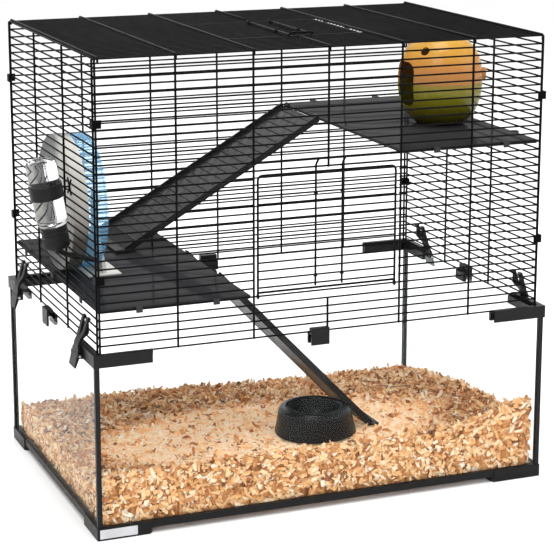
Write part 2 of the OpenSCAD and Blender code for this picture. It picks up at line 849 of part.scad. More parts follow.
module bottle_ball() {
    color([0.8, 0.8, 0.82])
        translate(spout_tip - 0.9 * spout_way) sphere(r = spout_r - 0.8, $fn = fn);
}

// ---- hut and dish ----

// Outline of the hut from its foot to its top: a rounded barrel, squarer than a ball. t runs from -90 to 90
function hut_x(r, t) = r * pow(cos(t), 2 / hut_square);
function hut_y(h, t) = h * sign(t) * pow(abs(sin(t)), 2 / hut_square);
function hut_outline(r, h, t0, t1, steps) =
    [for (i = [0 : steps]) let (t = t0 + (t1 - t0) * i / steps) [hut_x(r, t), hut_y(h, t)]];

// One half of the hut's wall, turned from its outline: side -1 is the base and 1 is the top
module hut_wall(side) {
    foot_t = -acos(pow(hut_foot_r / hut_r, hut_square / 2));
    inner_r = hut_r - hut_t;
    inner_h = hut_half - hut_t;
    steps = 14;
    outer = side < 0 ? hut_outline(hut_r, hut_half, foot_t, 0, steps) : hut_outline(hut_r, hut_half, 0, 90, steps);
    inner = side < 0 ? hut_outline(inner_r, inner_h, foot_t, 0, steps) : hut_outline(inner_r, inner_h, 0, 90, steps);
    back = [for (i = [0 : steps]) inner[steps - i]];
    floor_z = hut_y(hut_half, foot_t);
    translate([hut_at[0], hut_at[1], hut_z])
        difference() {
            rotate_extrude($fn = 96)
                polygon(side < 0
                    ? concat([[0, floor_z]], outer, [for (p = back) [p[0], max(p[1], floor_z + hut_t)]],
                             [[0, floor_z + hut_t]])
                    : concat(outer, back));
            hut_entrance();
            rotate([0, 46, 216]) translate([0, 0, hut_r / 2]) cylinder(h = hut_r, r = 6, $fn = 32);
        }
}

// Entrance: a slot with rounded corners, cut through the -X side
module hut_entrance() {
    r = 15;
    across = hut_door_w / 2 - r;
    rise = hut_door_h / 2 - r;
    translate([0, 0, -2])
        rotate([0, -90, 0]) {
            for (end = [-1, 1], side = [-1, 1])
                translate([end * rise, side * across, 0]) cylinder(h = 2 * hut_r, r = r, $fn = fn);
            translate([-rise, -across - r, 0]) cube([2 * rise, 2 * (across + r), 2 * hut_r]);
            translate([-rise - r, -across, 0]) cube([2 * (rise + r), 2 * across, 2 * hut_r]);
        }
}

module hut_top() {
    knob_r = 8;
    color([0.86, 0.60, 0.20])
        union() {
            hut_wall(1);
            translate([hut_at[0], hut_at[1], hut_z + knob_r + 0.6])
                rotate([0, 0, -21]) rotate([0, 90, 0])
                    translate([0, 0, hut_r - 2]) cylinder(h = 6, r = knob_r, $fn = fn);
        }
}

module hut_base() {
    color([0.50, 0.50, 0.10])
        hut_wall(-1);
}

module dish() {
    f = dish_foot_r;
    r = dish_rim_r;
    t = dish_t;
    color(dark_plastic)
        translate([dish_at[0], dish_at[1], bedding_z + 0.4])
            rotate_extrude($fn = 96)
                polygon([[0, 0], [f - 2, 0], [f, 2], [f - 1.5, 7], [f - 6, 16], [r + 5, dish_h - 9],
                         [r + 1, dish_h - 1.5], [r - 1, dish_h], [r - t, dish_h - 1.5],
                         [r - t - 2, dish_h - 12], [r - t - 8, 9], [r - t - 16, 6], [0, 5]]);
}

// ---- bedding ----

bed_x = hw - rail_inset - rail_w - 0.1;
bed_y = hd - rail_inset - rail_w - 0.1;
bed_nx = 30;
bed_ny = 18;

function smooth(a, b, x) = let (t = min(1, max(0, (x - a) / (b - a)))) t * t * (3 - 2 * t);
// Bedding's surface: level in the middle, banked up along the front and the right end
function bed_bank(x, y) =
    30 * smooth(-0.72, -1, y / bed_y) * (0.9 + 0.2 * smooth(0.3, 1, x / bed_x)) +
    24 * smooth(0.62, 1, x / bed_x) * smooth(1, -0.4, y / bed_y) -
    12 * smooth(0.5, 1, y / bed_y) * smooth(-0.6, 0.6, x / bed_x);
function bed_clear(x, y) =
    smooth(dish_foot_r + 4, dish_foot_r + 24, norm([x, y] - dish_at)) *
    smooth(0, 18, max(abs(x - lower_foot_x) - 22, abs(y - lower_ramp_y) - ramp_w / 2 - 4));
function bed_h(x, y) = bedding_z + bed_bank(x, y) * bed_clear(x, y) -
    (1 - cos(7 * x + 40) * cos(9 * y)) * bed_clear(x, y);
lower_foot_x = lower_pivot[0] + lower_run * cos(lower_slope) + toe / 2;

// Closed solid: a grid of surface points, the same grid flat below, and walls between
module bedding() {
    z0 = base_z + glass_t;
    nx = bed_nx;
    ny = bed_ny;
    across = nx + 1;
    layer = across * (ny + 1);
    top = [for (j = [0 : ny], i = [0 : nx])
           let (x = bed_x * (2 * i / nx - 1), y = bed_y * (2 * j / ny - 1)) [x, y, bed_h(x, y)]];
    low = [for (p = top) [p[0], p[1], z0]];
    cells = [for (j = [0 : ny - 1], i = [0 : nx - 1]) j * across + i];
    rim = concat([for (i = [0 : nx - 1]) [i, i + 1]],
                 [for (j = [0 : ny - 1]) [j * across + nx, (j + 1) * across + nx]],
                 [for (i = [0 : nx - 1]) [ny * across + nx - i, ny * across + nx - i - 1]],
                 [for (j = [0 : ny - 1]) [(ny - j) * across, (ny - j - 1) * across]]);
    faces = concat(
        [for (c = cells) [c, c + across + 1, c + 1]],
        [for (c = cells) [c, c + across, c + across + 1]],
        [for (c = cells) [layer + c, layer + c + 1, layer + c + across + 1]],
        [for (c = cells) [layer + c, layer + c + across + 1, layer + c + across]],
        [for (e = rim) [e[0], e[1], layer + e[1]]],
        [for (e = rim) [e[0], layer + e[1], layer + e[0]]]);
    color([0.90, 0.76, 0.62])
        polyhedron(points = concat(top, low), faces = faces);
}

// ---- what is drawn ----

// Brings the origin under the middle of the whole cage, bottle included
translate(stand_at) {
    base_glass();
    long_glass(-1);  // front_glass
    long_glass(1);  // back_glass
    end_glass(-1);  // left_glass
    end_glass(1);  // right_glass
    long_rail(-1);  // rail_front
    long_rail(1);  // rail_back
    end_rail(-1);  // rail_left
    end_rail(1);  // rail_right
    post(-1, -1);  // post_front_left
    post(1, -1);  // post_front_right
    post(-1, 1);  // post_back_left
    post(1, 1);  // post_back_right
    foot(-1, -1);  // foot_front_left
    foot(1, -1);  // foot_front_right
    foot(-1, 1);  // foot_back_left
    foot(1, 1);  // foot_back_right
    foot_plate();
    bracket(-1, -1);  // bracket_front_left
    bracket(1, -1);  // bracket_front_right
    bracket(-1, 1);  // bracket_back_left
    bracket(1, 1);  // bracket_back_right
    latch(-1, -1);  // latch_front_left
    latch(1, -1);  // latch_front_right
    latch(-1, 1);  // latch_back_left
    latch(1, 1);  // latch_back_right
    latch_pins();
    rim_clips();
    front_panel();
    back_panel();
    left_panel();
    right_panel();
    roof_panel();
    corner_clips();
    front_door();
    front_door_latch();
    roof_door();
    roof_door_latch();
    lower_shelf();
    upper_shelf();
    upper_ramp();
    lower_ramp();
    wheel_drum();
    wheel_ring();
    wheel_stand();
    wheel_axle();
    wheel_nut();
    bottle_body();
    bottle_band();
    bottle_hook();
    bottle_cap();
    bottle_spout();
    bottle_ball();
    hut_top();
    hut_base();
    dish();
    bedding();
}
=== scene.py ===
"""Looks of a two-storey hamster cage, built round its packed frame: round wires, clear glass, moulded
plastic fittings, a clear bottle and a bed of wood shavings. Metres, +X along the front, -Y out of it."""

import json
import math

import bmesh
import bpy
import numpy as np
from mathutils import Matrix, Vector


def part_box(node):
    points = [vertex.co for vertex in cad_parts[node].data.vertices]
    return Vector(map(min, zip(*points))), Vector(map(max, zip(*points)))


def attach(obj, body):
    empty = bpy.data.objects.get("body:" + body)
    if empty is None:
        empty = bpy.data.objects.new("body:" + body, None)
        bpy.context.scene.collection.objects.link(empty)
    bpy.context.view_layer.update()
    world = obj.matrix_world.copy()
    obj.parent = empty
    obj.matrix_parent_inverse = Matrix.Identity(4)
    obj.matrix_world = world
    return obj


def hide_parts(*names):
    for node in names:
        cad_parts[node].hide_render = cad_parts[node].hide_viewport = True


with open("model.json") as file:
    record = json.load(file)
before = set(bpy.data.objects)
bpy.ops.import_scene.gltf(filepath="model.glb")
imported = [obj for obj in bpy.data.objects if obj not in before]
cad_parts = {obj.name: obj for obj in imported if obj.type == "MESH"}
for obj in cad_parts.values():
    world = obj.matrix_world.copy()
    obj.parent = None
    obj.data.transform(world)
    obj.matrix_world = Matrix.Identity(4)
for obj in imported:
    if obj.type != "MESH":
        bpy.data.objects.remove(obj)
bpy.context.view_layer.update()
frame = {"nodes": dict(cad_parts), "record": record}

bl_info = {
    "name": "Hamster Cage Finisher",
    "version": (1, 0, 0),
    "blender": (4, 5, 0),
    "location": "View3D > Sidebar > Cage",
    "description": "Gives a packed hamster cage its wires, glass, fittings, bedding and finishes",
    "category": "Add Mesh",
}

BODY_OF = {
    node: body
    for body, nodes in frame["record"]["behaviour"]["bodies"].items()
    for node in nodes
}
SLOT_OF = {part["node"]: part["material_slot"] for part in frame["record"]["subparts"]}
CORNERS = ("front_left", "front_right", "back_left", "back_right")
MM = 0.001


# ---------------------------------------------------------------- layout, read from the frame

def corners_of(node):
    """Lowest and highest corner of a node at rest, as arrays."""
    low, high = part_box(node)
    return np.array(low), np.array(high)


def joint_named(name):
    """The joint of that name from the packed record."""
    return next(j for j in frame["record"]["behaviour"]["joints"] if j["name"] == name)


FRONT_LOW, FRONT_HIGH = corners_of("front_panel")
MIDDLE = (corners_of("post_front_left")[0] + corners_of("post_back_right")[1]) / 2 * [1, 1, 0]
CAGE_X = FRONT_HIGH[0] - MIDDLE[0] - 1 * MM   # middle of the tank to the end walls' level wires
WIRE_BOTTOM = FRONT_LOW[2] - 0.1 * MM         # what the wire top rests on
ROOF_Z = FRONT_HIGH[2] - 0.2 * MM             # middle of the highest level wires
HINGE_AT = np.array(joint_named("front_door_hinge")["pos_m"]) - MIDDLE
ROOF_HINGE_AT = np.array(joint_named("roof_door_hinge")["pos_m"]) - MIDDLE
CAGE_Y = -HINGE_AT[1]                         # plane of the front and back walls' level wires
WHEEL_AT = np.array(joint_named("wheel_spin")["pos_m"])
BAYS = 6                                      # between the uprights of the front
BAY = 2 * CAGE_X / BAYS
WALL_ROWS = 34                                # gaps between a wall's level wires
DOOR_ROW = 5                                  # level wire that the front door hangs on
DOOR_ROWS = 15                                # gaps that the front door covers
ROOF_ROWS = 37                                # gaps between the roof's wires
ROOF_FIRST = 10                               # roof wires in front of the roof door and behind it
ROOF_LAST = 26
STACK = 1.9 * MM                              # level wires to uprights, centre to centre
WELD = 0.6 * MM                               # how far a cut wire passes the wire that it ends on
DOOR_HALF = BAY - 6 * MM                      # half width of the doors
LATCH_OUT = 3.35 * MM                         # a door's plane to its sliding latch
HINGE_REACH = 4.3 * MM                        # a door's hinge to its lowest bar
EYE = 2.1 * MM                                # radius of the eyes that guide a sliding latch
LEGS = (-17 * MM, 18 * MM)                    # legs of the front door's latch
ROOF_LEGS = (-8 * MM, 22 * MM)                # legs of the roof door's latch
PAINTED_GLOW = 0.2                                    # painted light: glow that brightens the shavings in the middle of the bed


# ---------------------------------------------------------------- settings

def colour_property(name, description, default):
    """A colour setting with the usual range."""
    return bpy.props.FloatVectorProperty(
        name=name, description=description, default=default, size=3, min=0.0, max=1.0, subtype="COLOR"
    )


class WireSettings(bpy.types.PropertyGroup):
    """Sizes of the coated wires."""

    level: bpy.props.FloatProperty(
        name="Level wire", description="Diameter of the level wires",
        default=2.2 * MM, min=1 * MM, max=3 * MM, subtype="DISTANCE", unit="LENGTH",
    )
    upright: bpy.props.FloatProperty(
        name="Upright", description="Diameter of the uprights and the door frames",
        default=2.8 * MM, min=1 * MM, max=4 * MM, subtype="DISTANCE", unit="LENGTH",
    )
    sides: bpy.props.IntProperty(
        name="Sides", description="Number of sides round a wire", default=12, min=6, max=24,
    )
    colour: colour_property("Wire", "Colour of the wires' coating", (0.0035, 0.0035, 0.004))


class FinishSettings(bpy.types.PropertyGroup):
    """Colours of the moulded and metal pieces."""

    trim: colour_property("Trim", "Black moulded trim", (0.006, 0.006, 0.0065))
    shelf: colour_property("Shelves", "Glossy dark grey shelves", (0.030, 0.030, 0.032))
    ramp: colour_property("Ramps", "Dark grey ribbed ramps", (0.014, 0.014, 0.015))
    latch: colour_property("Latches", "Grey side latches", (0.009, 0.0092, 0.010))
    clip: colour_property("Clips", "Black corner clips", (0.002, 0.002, 0.002))
    dish: colour_property("Dish", "Black feeding dish", (0.008, 0.0085, 0.0095))
    drum: colour_property("Drum", "Off-white wheel drum and stand", (0.60, 0.58, 0.54))
    ring: colour_property("Ring", "Light blue running ring", (0.42, 0.72, 0.96))
    rung: colour_property("Rungs", "Deeper blue rungs inside the ring", (0.09, 0.28, 0.48))
    steel: colour_property("Steel", "Pins, axle, nut and ball", (0.55, 0.55, 0.57))
    plate: colour_property("Plate", "Satin metal plate", (0.55, 0.56, 0.58))


class BeddingSettings(bpy.types.PropertyGroup):
    """How the shavings are strewn."""

    top_count: bpy.props.IntProperty(
        name="Shavings on top", description="Number of shavings on the surface",
        default=5400, min=0, max=6000,
    )
    side_count: bpy.props.IntProperty(
        name="Shavings at the glass", description="Number of shavings against the panes",
        default=5400, min=0, max=6000,
    )
    flake_count: bpy.props.IntProperty(
        name="Flakes", description="Number of small flakes in the middle",
        default=9000, min=0, max=15000,
    )
    seed: bpy.props.IntProperty(name="Seed", description="Seed of the strewing", default=7, min=0)


class StageSettings(bpy.types.PropertyGroup):
    """Floor, light and camera."""

    camera_at: bpy.props.FloatVectorProperty(
        name="Camera", description="Place of the camera",
        default=(-0.87312, -2.23606, 0.87282), size=3, subtype="TRANSLATION", unit="LENGTH",
    )
    camera_turn: bpy.props.FloatVectorProperty(
        name="Camera turn", description="Turn of the camera about X, Y and Z",
        default=tuple(map(math.radians, (77.146, -0.042, -21.979))), size=3, subtype="EULER",
    )
    lens: bpy.props.FloatProperty(
        name="Lens", description="Focal length in millimetres on a 36 mm sensor",
        default=122.694, min=20,
    )
    shift_y: bpy.props.FloatProperty(
        name="Shift", description="Upright shift of the lens", default=-0.1, min=-0.5, max=0.5,
    )


SETTINGS = {
    "cage_wire": WireSettings,
    "cage_finish": FinishSettings,
    "cage_bedding": BeddingSettings,
    "cage_stage": StageSettings,
}


# ---------------------------------------------------------------- meshes

def grid_faces(rows, cols, close_rows=False, close_cols=True):
    """Quads of a grid of rows x cols points, row by row, closed into a loop along either direction."""
    r = np.arange(rows if close_rows else rows - 1)[:, None]
    c = np.arange(cols if close_cols else cols - 1)[None, :]
    r2, c2 = (r + 1) % rows, (c + 1) % cols
    return np.stack([r * cols + c, r * cols + c2, r2 * cols + c2, r2 * cols + c], axis=-1).reshape(-1, 4)


def repeat_faces(faces, count, stride):
    """The same faces for count copies of a shape that has stride points."""
    return (faces[None] + stride * np.arange(count)[:, None, None]).reshape(-1, faces.shape[1])


def new_object(name, mesh):
    """An object at the origin that shows mesh."""
    piece = bpy.data.objects.new(name, mesh)
    bpy.context.collection.objects.link(piece)
    return piece


def tidy_mesh(mesh, merge=1e-6, flat=None):
    """Merges doubled points, joins faces that lie flat within an angle, and turns all faces outwards."""
    work = bmesh.new()
    work.from_mesh(mesh)
    bmesh.ops.remove_doubles(work, verts=work.verts, dist=merge)
    if flat is not None:
        bmesh.ops.dissolve_limit(work, angle_limit=flat, verts=work.verts, edges=work.edges)
    bmesh.ops.recalc_face_normals(work, faces=work.faces)
    work.to_mesh(mesh)
    work.free()


def shade(mesh, sharp=35.0):
    """Smooth shading, kept sharp where faces meet at more than that many degrees."""
    mesh.shade_smooth()
    mesh.set_sharp_from_angle(angle=math.radians(sharp))


def surface(name, points, faces, sharp=35.0):
    """A closed surface from arrays of points and of faces."""
    mesh = bpy.data.meshes.new(name)
    mesh.from_pydata(points.reshape(-1, 3).tolist(), [], faces.tolist())
    tidy_mesh(mesh)
    shade(mesh, sharp)
    return new_object(name, mesh)


def place(piece, body, slot, material, *nodes):
    """Gives a piece its body, finish and the nodes that it stands for."""
    piece.data.materials.clear()
    piece.data.materials.append(material)
    if nodes:
        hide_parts(*nodes)
    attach(piece, body)
    return piece


def softened(node, material, bevel, sharp=35.0):
    """A node's own shape with its edges rounded off by a narrow bevel."""
    mesh = frame["nodes"][node].data.copy()
    piece = new_object(node + "_finished", mesh)
    mesh.name = piece.name
    tidy_mesh(mesh, flat=math.radians(0.5))
    shade(mesh, sharp)
    if bevel:
        edge = piece.modifiers.new("edges", "BEVEL")
        edge.width = bevel
        edge.segments = 2
        edge.limit_method = "ANGLE"
        edge.angle_limit = math.radians(40)
        edge.harden_normals = True
    return place(piece, BODY_OF[node], SLOT_OF[node], material, node)


def lathe(name, profile, around=96, place_at=(0, 0, 0), tilt=None, lobes=None):
    """Surface of revolution. Each point is (r cos t, r sin t, z) of a closed profile of (r, z) points;
    lobes(t, r, z) scales the radius, tilt is a 3x3 turn and place_at the axis's foot."""
    r, z = np.asarray(profile, float).T
    t = np.linspace(0, 2 * math.pi, around, endpoint=False)[None, :]
    radius = r[:, None] * (lobes(t, r[:, None], z[:, None]) if lobes else 1.0)
    points = np.stack([radius * np.cos(t), radius * np.sin(t), z[:, None] + 0 * t], axis=-1)
    if tilt is not None:
        points = points @ np.asarray(tilt).T
    points = points + np.asarray(place_at)
    return surface(name, points, grid_faces(len(r), around, close_rows=True))


# ---------------------------------------------------------------- wires

def rounded_path(corners, radius, steps=6):
    """A polyline whose inner corners are replaced by quadratic curves that start radius from the corner."""
    corners = np.asarray(corners, float)
    path = [corners[:1]]
    t = np.linspace(0, 1, steps)[:, None]
    for before, corner, after in zip(corners[:-2], corners[1:-1], corners[2:]):
        a = corner + radius * (before - corner) / np.linalg.norm(before - corner)
        b = corner + radius * (after - corner) / np.linalg.norm(after - corner)
        path.append((1 - t) ** 2 * a + 2 * t * (1 - t) * corner + t ** 2 * b)
    path.append(corners[-1:])
    return np.concatenate(path)


def wire_points(path, diameter, sides, across):
    """Points of a wire along a path: at each point a circle square to the path, then a domed end.
    across is a direction that the path never runs along."""
    path = np.asarray(path, float)
    along = np.gradient(path, axis=0)
    along /= np.linalg.norm(along, axis=1)[:, None]
    side = np.cross(across, along)
    side /= np.linalg.norm(side, axis=1)[:, None]
    third = np.cross(along, side)
    r = diameter / 2
    dome = np.array([[0.0, -0.6], [0.6, -0.45], [0.92, -0.2]])
    tail = dome[::-1] * [1, -1]
    start, end = path[:1] + along[:1] * r * dome[:, 1:], path[-1:] + along[-1:] * r * tail[:, 1:]
    spine = np.concatenate([start, path, end])
    width = np.concatenate([dome[:, 0], np.ones(len(path)), tail[:, 0]])[:, None, None] * r
    pick = np.clip(np.arange(len(spine)) - len(dome), 0, len(path) - 1)
    t = np.linspace(0, 2 * math.pi, sides, endpoint=False)[None, :, None]
    return spine[:, None] + width * (np.cos(t) * side[pick][:, None] + np.sin(t) * third[pick][:, None])


class Wires:
    """Gathers wires and closed loops of wire, measured from the middle of the tank, into one mesh."""

    def __init__(self, sides):
        self.sides = sides
        self.points = []
        self.faces = []
        self.total = 0

    def add(self, points, close_rows=False):
        """Adds one grid of rings."""
        rows, sides = points.shape[:2]
        self.faces.append(grid_faces(rows, sides, close_rows) + self.total)
        self.points.append(points.reshape(-1, 3))
        self.total += rows * sides

    def bent(self, path, diameter, across):
        """One wire along a path."""
        self.add(wire_points(path, diameter, self.sides, across))

    def loop(self, centre, axis, radius, diameter):
        """A closed ring of wire: a circle of that radius about axis, swept by the wire's circle."""
        axis = np.asarray(axis, float)
        first = np.cross(axis, [0.3, 0.5, 0.8])
        first /= np.linalg.norm(first)
        second = np.cross(axis, first)
        t = np.linspace(0, 2 * math.pi, 24, endpoint=False)[:, None, None]
        s = np.linspace(0, 2 * math.pi, self.sides, endpoint=False)[None, :, None]
        out = np.cos(t) * first + np.sin(t) * second
        ring = out * (radius + diameter / 2 * np.cos(s)) + axis * diameter / 2 * np.sin(s)
        self.add(np.asarray(centre) + ring, close_rows=True)

    def piece(self, name):
        """The finished mesh."""
        return surface(name, np.concatenate(self.points) + MIDDLE, np.concatenate(self.faces), 60)


def row_z(row):
    """Height of a level wire of the walls."""
    first = WIRE_BOTTOM + 1.1 * MM
    return first + (ROOF_Z - first) * row / WALL_ROWS


def roof_y(row):
    """Depth of a roof wire."""
    return -CAGE_Y + 2 * CAGE_Y * row / ROOF_ROWS


def upright_x(i):
    """Place of an upright along the front."""
    return -CAGE_X + BAY * i


def long_wall(wires, sizes, side, open_door):
    """Front or back wall: level wires, and uprights outside them."""
    y = side * CAGE_Y
    end = CAGE_X + 1 * MM
    last = DOOR_ROW + DOOR_ROWS
    for row in range(WALL_ROWS + 1):
        z = row_z(row)
        spans = [(-end, end)]
        if open_door and DOOR_ROW < row < last:
            spans = [(-end, -BAY + WELD), (BAY - WELD, end)]
        for a, b in spans:
            wires.bent([(a, y, z), (b, y, z)], sizes.level, (0, 0, 1))
    out = side * (CAGE_Y + STACK)
    for i in range(BAYS + 1):
        spans = [(WIRE_BOTTOM + 1 * MM, ROOF_Z - 0.4 * MM)]
        if open_door and i == BAYS // 2:
            spans = [(spans[0][0], row_z(DOOR_ROW - 1) + WELD), (row_z(last) - WELD, spans[0][1])]
        for a, b in spans:
            wires.bent([(upright_x(i), out, a), (upright_x(i), out, b)], sizes.upright, (1, 0, 0))


def end_wall(wires, sizes, side):
    """Left or right wall."""
    x = side * CAGE_X
    end = CAGE_Y - 2.5 * MM
    for row in range(WALL_ROWS + 1):
        z = row_z(row)
        wires.bent([(x, -end - 1 * MM, z), (x, end + 1 * MM, z)], sizes.level, (0, 0, 1))
    out = side * (CAGE_X + STACK)
    for y in (-end, -CAGE_Y / 3, CAGE_Y / 3, end):
        wires.bent([(out, y, WIRE_BOTTOM + 1 * MM), (out, y, ROOF_Z - 0.4 * MM)], sizes.upright, (1, 0, 0))


def roof(wires, sizes):
    """Roof: wires along X, and cross wires on top whose ends turn down over the front and back."""
    end = CAGE_X - 1.7 * MM
    for row in range(1, ROOF_ROWS):
        y = roof_y(row)
        spans = [(-end, end)]
        if ROOF_FIRST < row < ROOF_LAST:
            spans = [(-end, -BAY + WELD), (BAY - WELD, end)]
        for a, b in spans:
            wires.bent([(a, y, ROOF_Z), (b, y, ROOF_Z)], sizes.level, (0, 0, 1))
    z = ROOF_Z + STACK
    hook = CAGE_Y + STACK + sizes.upright + 0.4 * MM
    low = ROOF_Z - 4.2 * MM
    for i in range(BAYS + 1):
        x = np.clip(upright_x(i), -end + 1.2 * MM, end - 1.2 * MM)
        if i == BAYS // 2:
            near = [(x, -hook, low), (x, -hook, z), (x, roof_y(ROOF_FIRST - 1) + 1 * MM, z)]
            far = [(x, roof_y(ROOF_LAST + 1) - 1 * MM, z), (x, hook, z), (x, hook, low)]
            paths = [near, far]
        else:
            paths = [[(x, -hook, low), (x, -hook, z), (x, hook, z), (x, hook, low)]]
        for path in paths:
            wires.bent(rounded_path(path, 2.5 * MM), sizes.upright, (1, 0, 0))


def door(wires, sizes, place_point, height, pitch, legs, guides):
    """A door in its own XZ plane, hinged at z = 0; place_point maps its points (x, out, z) into the cage."""
    foot = 2.6 * MM
    half = DOOR_HALF
    frame_path = [(-half, 0, foot), (-half, 0, height), (half, 0, height), (half, 0, foot)]
    across = place_point(np.array([[0, 1.0, 0]])) - place_point(np.zeros((1, 3)))
    wires.bent(place_point(rounded_path(frame_path, 7 * MM, 9)), sizes.upright, across[0])
    bar = [(-half, 0, HINGE_REACH), (half, 0, HINGE_REACH)]
    wires.bent(place_point(np.array(bar)), sizes.upright, across[0])
    row = 1
    while row * pitch < height - 5 * MM:
        level = [(-half, 0, row * pitch), (half, 0, row * pitch)]
        wires.bent(place_point(np.array(level)), sizes.level, across[0])
        row += 1
    for x in (-half, half):
        wires.loop(place_point(np.array([[x, 0, 0]]))[0], (1, 0, 0), 2.55 * MM, sizes.level)
    upward = (place_point(np.array([[0, 0, 1.0]])) - place_point(np.zeros((1, 3))))[0]
    for x in legs:
        for z in guides:
            for step in (-0.9 * MM, 0, 0.9 * MM):
                centre = place_point(np.array([[x, LATCH_OUT, z * pitch + step]]))[0]
                wires.loop(centre, upward, EYE, 1.0 * MM)


def sliding_latch(wires, sizes, place_point, legs, low, high, out, rise):
    """A latch bent from one wire: two legs joined by a handle that stands proud."""
    y = LATCH_OUT
    path = [(legs[0], y, low), (legs[0], y, high), (legs[0], y + out, high + rise),
            (legs[1], y + out, high + rise), (legs[1], y, high), (legs[1], y, low)]
    across = (place_point(np.array([[0.18, 1.0, 0.31]])) - place_point(np.zeros((1, 3))))[0]
    wires.bent(place_point(rounded_path(path, 2.6 * MM)), sizes.upright - 0.2 * MM, across)


def at_front(points):
    """Front door's points in the cage: out is -Y, up is +Z."""
    return np.stack([points[:, 0], HINGE_AT[1] - points[:, 1], HINGE_AT[2] + points[:, 2]], axis=1)


def at_roof(points):
    """Roof door's points in the cage: out is +Z, away from the hinge is -Y."""
    y, z = ROOF_HINGE_AT[1:]
    return np.stack([points[:, 0], y - points[:, 2], z + points[:, 1]], axis=1)


# ---------------------------------------------------------------- materials

def new_material(name):
    """A material with its node tree, shader and links."""
    material = bpy.data.materials.new(name)
    material.use_nodes = True
    tree = material.node_tree
    return material, tree, tree.nodes["Principled BSDF"]


def add_node(tree, kind, inputs=None, **values):
    """A node with its properties and plain inputs set."""
    node = tree.nodes.new(kind)
    for key, value in values.items():
        setattr(node, key, value)
    for key, value in (inputs or {}).items():
        node.inputs[key].default_value = value
    return node


def ramp(tree, factor, stops):
    """A colour ramp of (position, colour) stops over factor."""
    node = tree.nodes.new("ShaderNodeValToRGB")
    while len(node.color_ramp.elements) < len(stops):
        node.color_ramp.elements.new(0.5)
    for element, (position, colour) in zip(node.color_ramp.elements, stops):
        element.position = position
        element.color = (*colour, 1.0)
    tree.links.new(factor, node.inputs["Fac"])
    return node.outputs["Color"]


def noise(tree, scale, detail=3.0, stretch=(1, 1, 1)):
    """Noise over Object coordinates; scale counts per metre."""
    where = tree.nodes.new("ShaderNodeTexCoord")
    mapping = add_node(tree, "ShaderNodeMapping")
    mapping.inputs["Scale"].default_value = stretch
    texture = add_node(tree, "ShaderNodeTexNoise", {"Scale": scale, "Detail": detail})
    tree.links.new(where.outputs["Object"], mapping.inputs["Vector"])
    tree.links.new(mapping.outputs["Vector"], texture.inputs["Vector"])
    return texture.outputs["Fac"]


def to_range(tree, factor, low, high):
    """factor, mostly 0.3 to 0.7, spread over low to high."""
    reach = {"From Min": 0.3, "From Max": 0.7, "To Min": low, "To Max": high}
    node = add_node(tree, "ShaderNodeMapRange", reach)
    tree.links.new(factor, node.inputs["Value"])
    return node.outputs["Result"]


def bump(tree, shader, height, strength, distance):
    """Fine relief on a shader from a height."""
    node = add_node(tree, "ShaderNodeBump", {"Strength": strength, "Distance": distance})
    tree.links.new(height, node.inputs["Height"])
    tree.links.new(node.outputs["Normal"], shader.inputs["Normal"])


def shades(colour, spread):
    """A darker and a lighter shade of a colour."""
    base = np.array(colour[:3])
    return tuple(np.clip(base * (1 - spread), 0, 1)), tuple(np.clip(base * (1 + spread), 0, 1))


def moulded(name, colour, rough, grain=900, relief=0.12, spread=0.12, gloss=0.0, shine=0.08, polish=0.12,
            metal=0.0):
    """Moulded plastic or coated metal: slight cloudiness, uneven gloss and a fine grain."""
    material, tree, shader = new_material(name)
    dark, light = shades(colour, spread)
    cloud = noise(tree, 35, 4)
    tree.links.new(ramp(tree, cloud, [(0.3, dark), (0.7, light)]), shader.inputs["Base Color"])
    tree.links.new(to_range(tree, noise(tree, 120, 3), rough * 0.85, rough * 1.2), shader.inputs["Roughness"])
    bump(tree, shader, noise(tree, grain, 2), relief, 0.0002)
    shader.inputs["Metallic"].default_value = metal
    shader.inputs["Specular IOR Level"].default_value = 0.5 if metal else shine
    shader.inputs["Coat Weight"].default_value = gloss
    shader.inputs["Coat Roughness"].default_value = polish
    return material


def clear(name, tint, shadow, ior):
    """Clear wall that lets lamps through with a slight tint, with faint smears in its gloss."""
    material, tree, shader = new_material(name)
    shader.inputs["Base Color"].default_value = (*tint, 1)
    shader.inputs["Transmission Weight"].default_value = 1.0
    shader.inputs["IOR"].default_value = ior
    tree.links.new(to_range(tree, noise(tree, 14, 4), 0.0, 0.03), shader.inputs["Roughness"])
    path = tree.nodes.new("ShaderNodeLightPath")
    through = add_node(tree, "ShaderNodeBsdfTransparent", {"Color": (*shadow, 1)})
    mix = tree.nodes.new("ShaderNodeMixShader")
    output = tree.nodes["Material Output"]
    tree.links.new(path.outputs["Is Shadow Ray"], mix.inputs["Fac"])
    tree.links.new(shader.outputs["BSDF"], mix.inputs[1])
    tree.links.new(through.outputs["BSDF"], mix.inputs[2])
    tree.links.new(mix.outputs["Shader"], output.inputs["Surface"])
    return material


def pane(name, tint, body, strength):
    """Flat clear glass: what is behind it, tinted, with a thin reflection that grows towards grazing."""
    material, tree, shader = new_material(name)
    shader.inputs["Base Color"].default_value = (*body, 1)
    shader.inputs["Metallic"].default_value = 1.0
    tree.links.new(to_range(tree, noise(tree, 9, 4), 0.01, 0.06), shader.inputs["Roughness"])
    through = add_node(tree, "ShaderNodeBsdfTransparent", {"Color": (*tint, 1)})
    facing = add_node(tree, "ShaderNodeFresnel", {"IOR": 1.45})
    part = add_node(tree, "ShaderNodeMath", {1: strength}, operation="MULTIPLY")
    mix = tree.nodes.new("ShaderNodeMixShader")
    tree.links.new(facing.outputs["Fac"], part.inputs[0])
    tree.links.new(part.outputs["Value"], mix.inputs["Fac"])
    tree.links.new(through.outputs["BSDF"], mix.inputs[1])
    tree.links.new(shader.outputs["BSDF"], mix.inputs[2])
    tree.links.new(mix.outputs["Shader"], tree.nodes["Material Output"].inputs["Surface"])
    return material


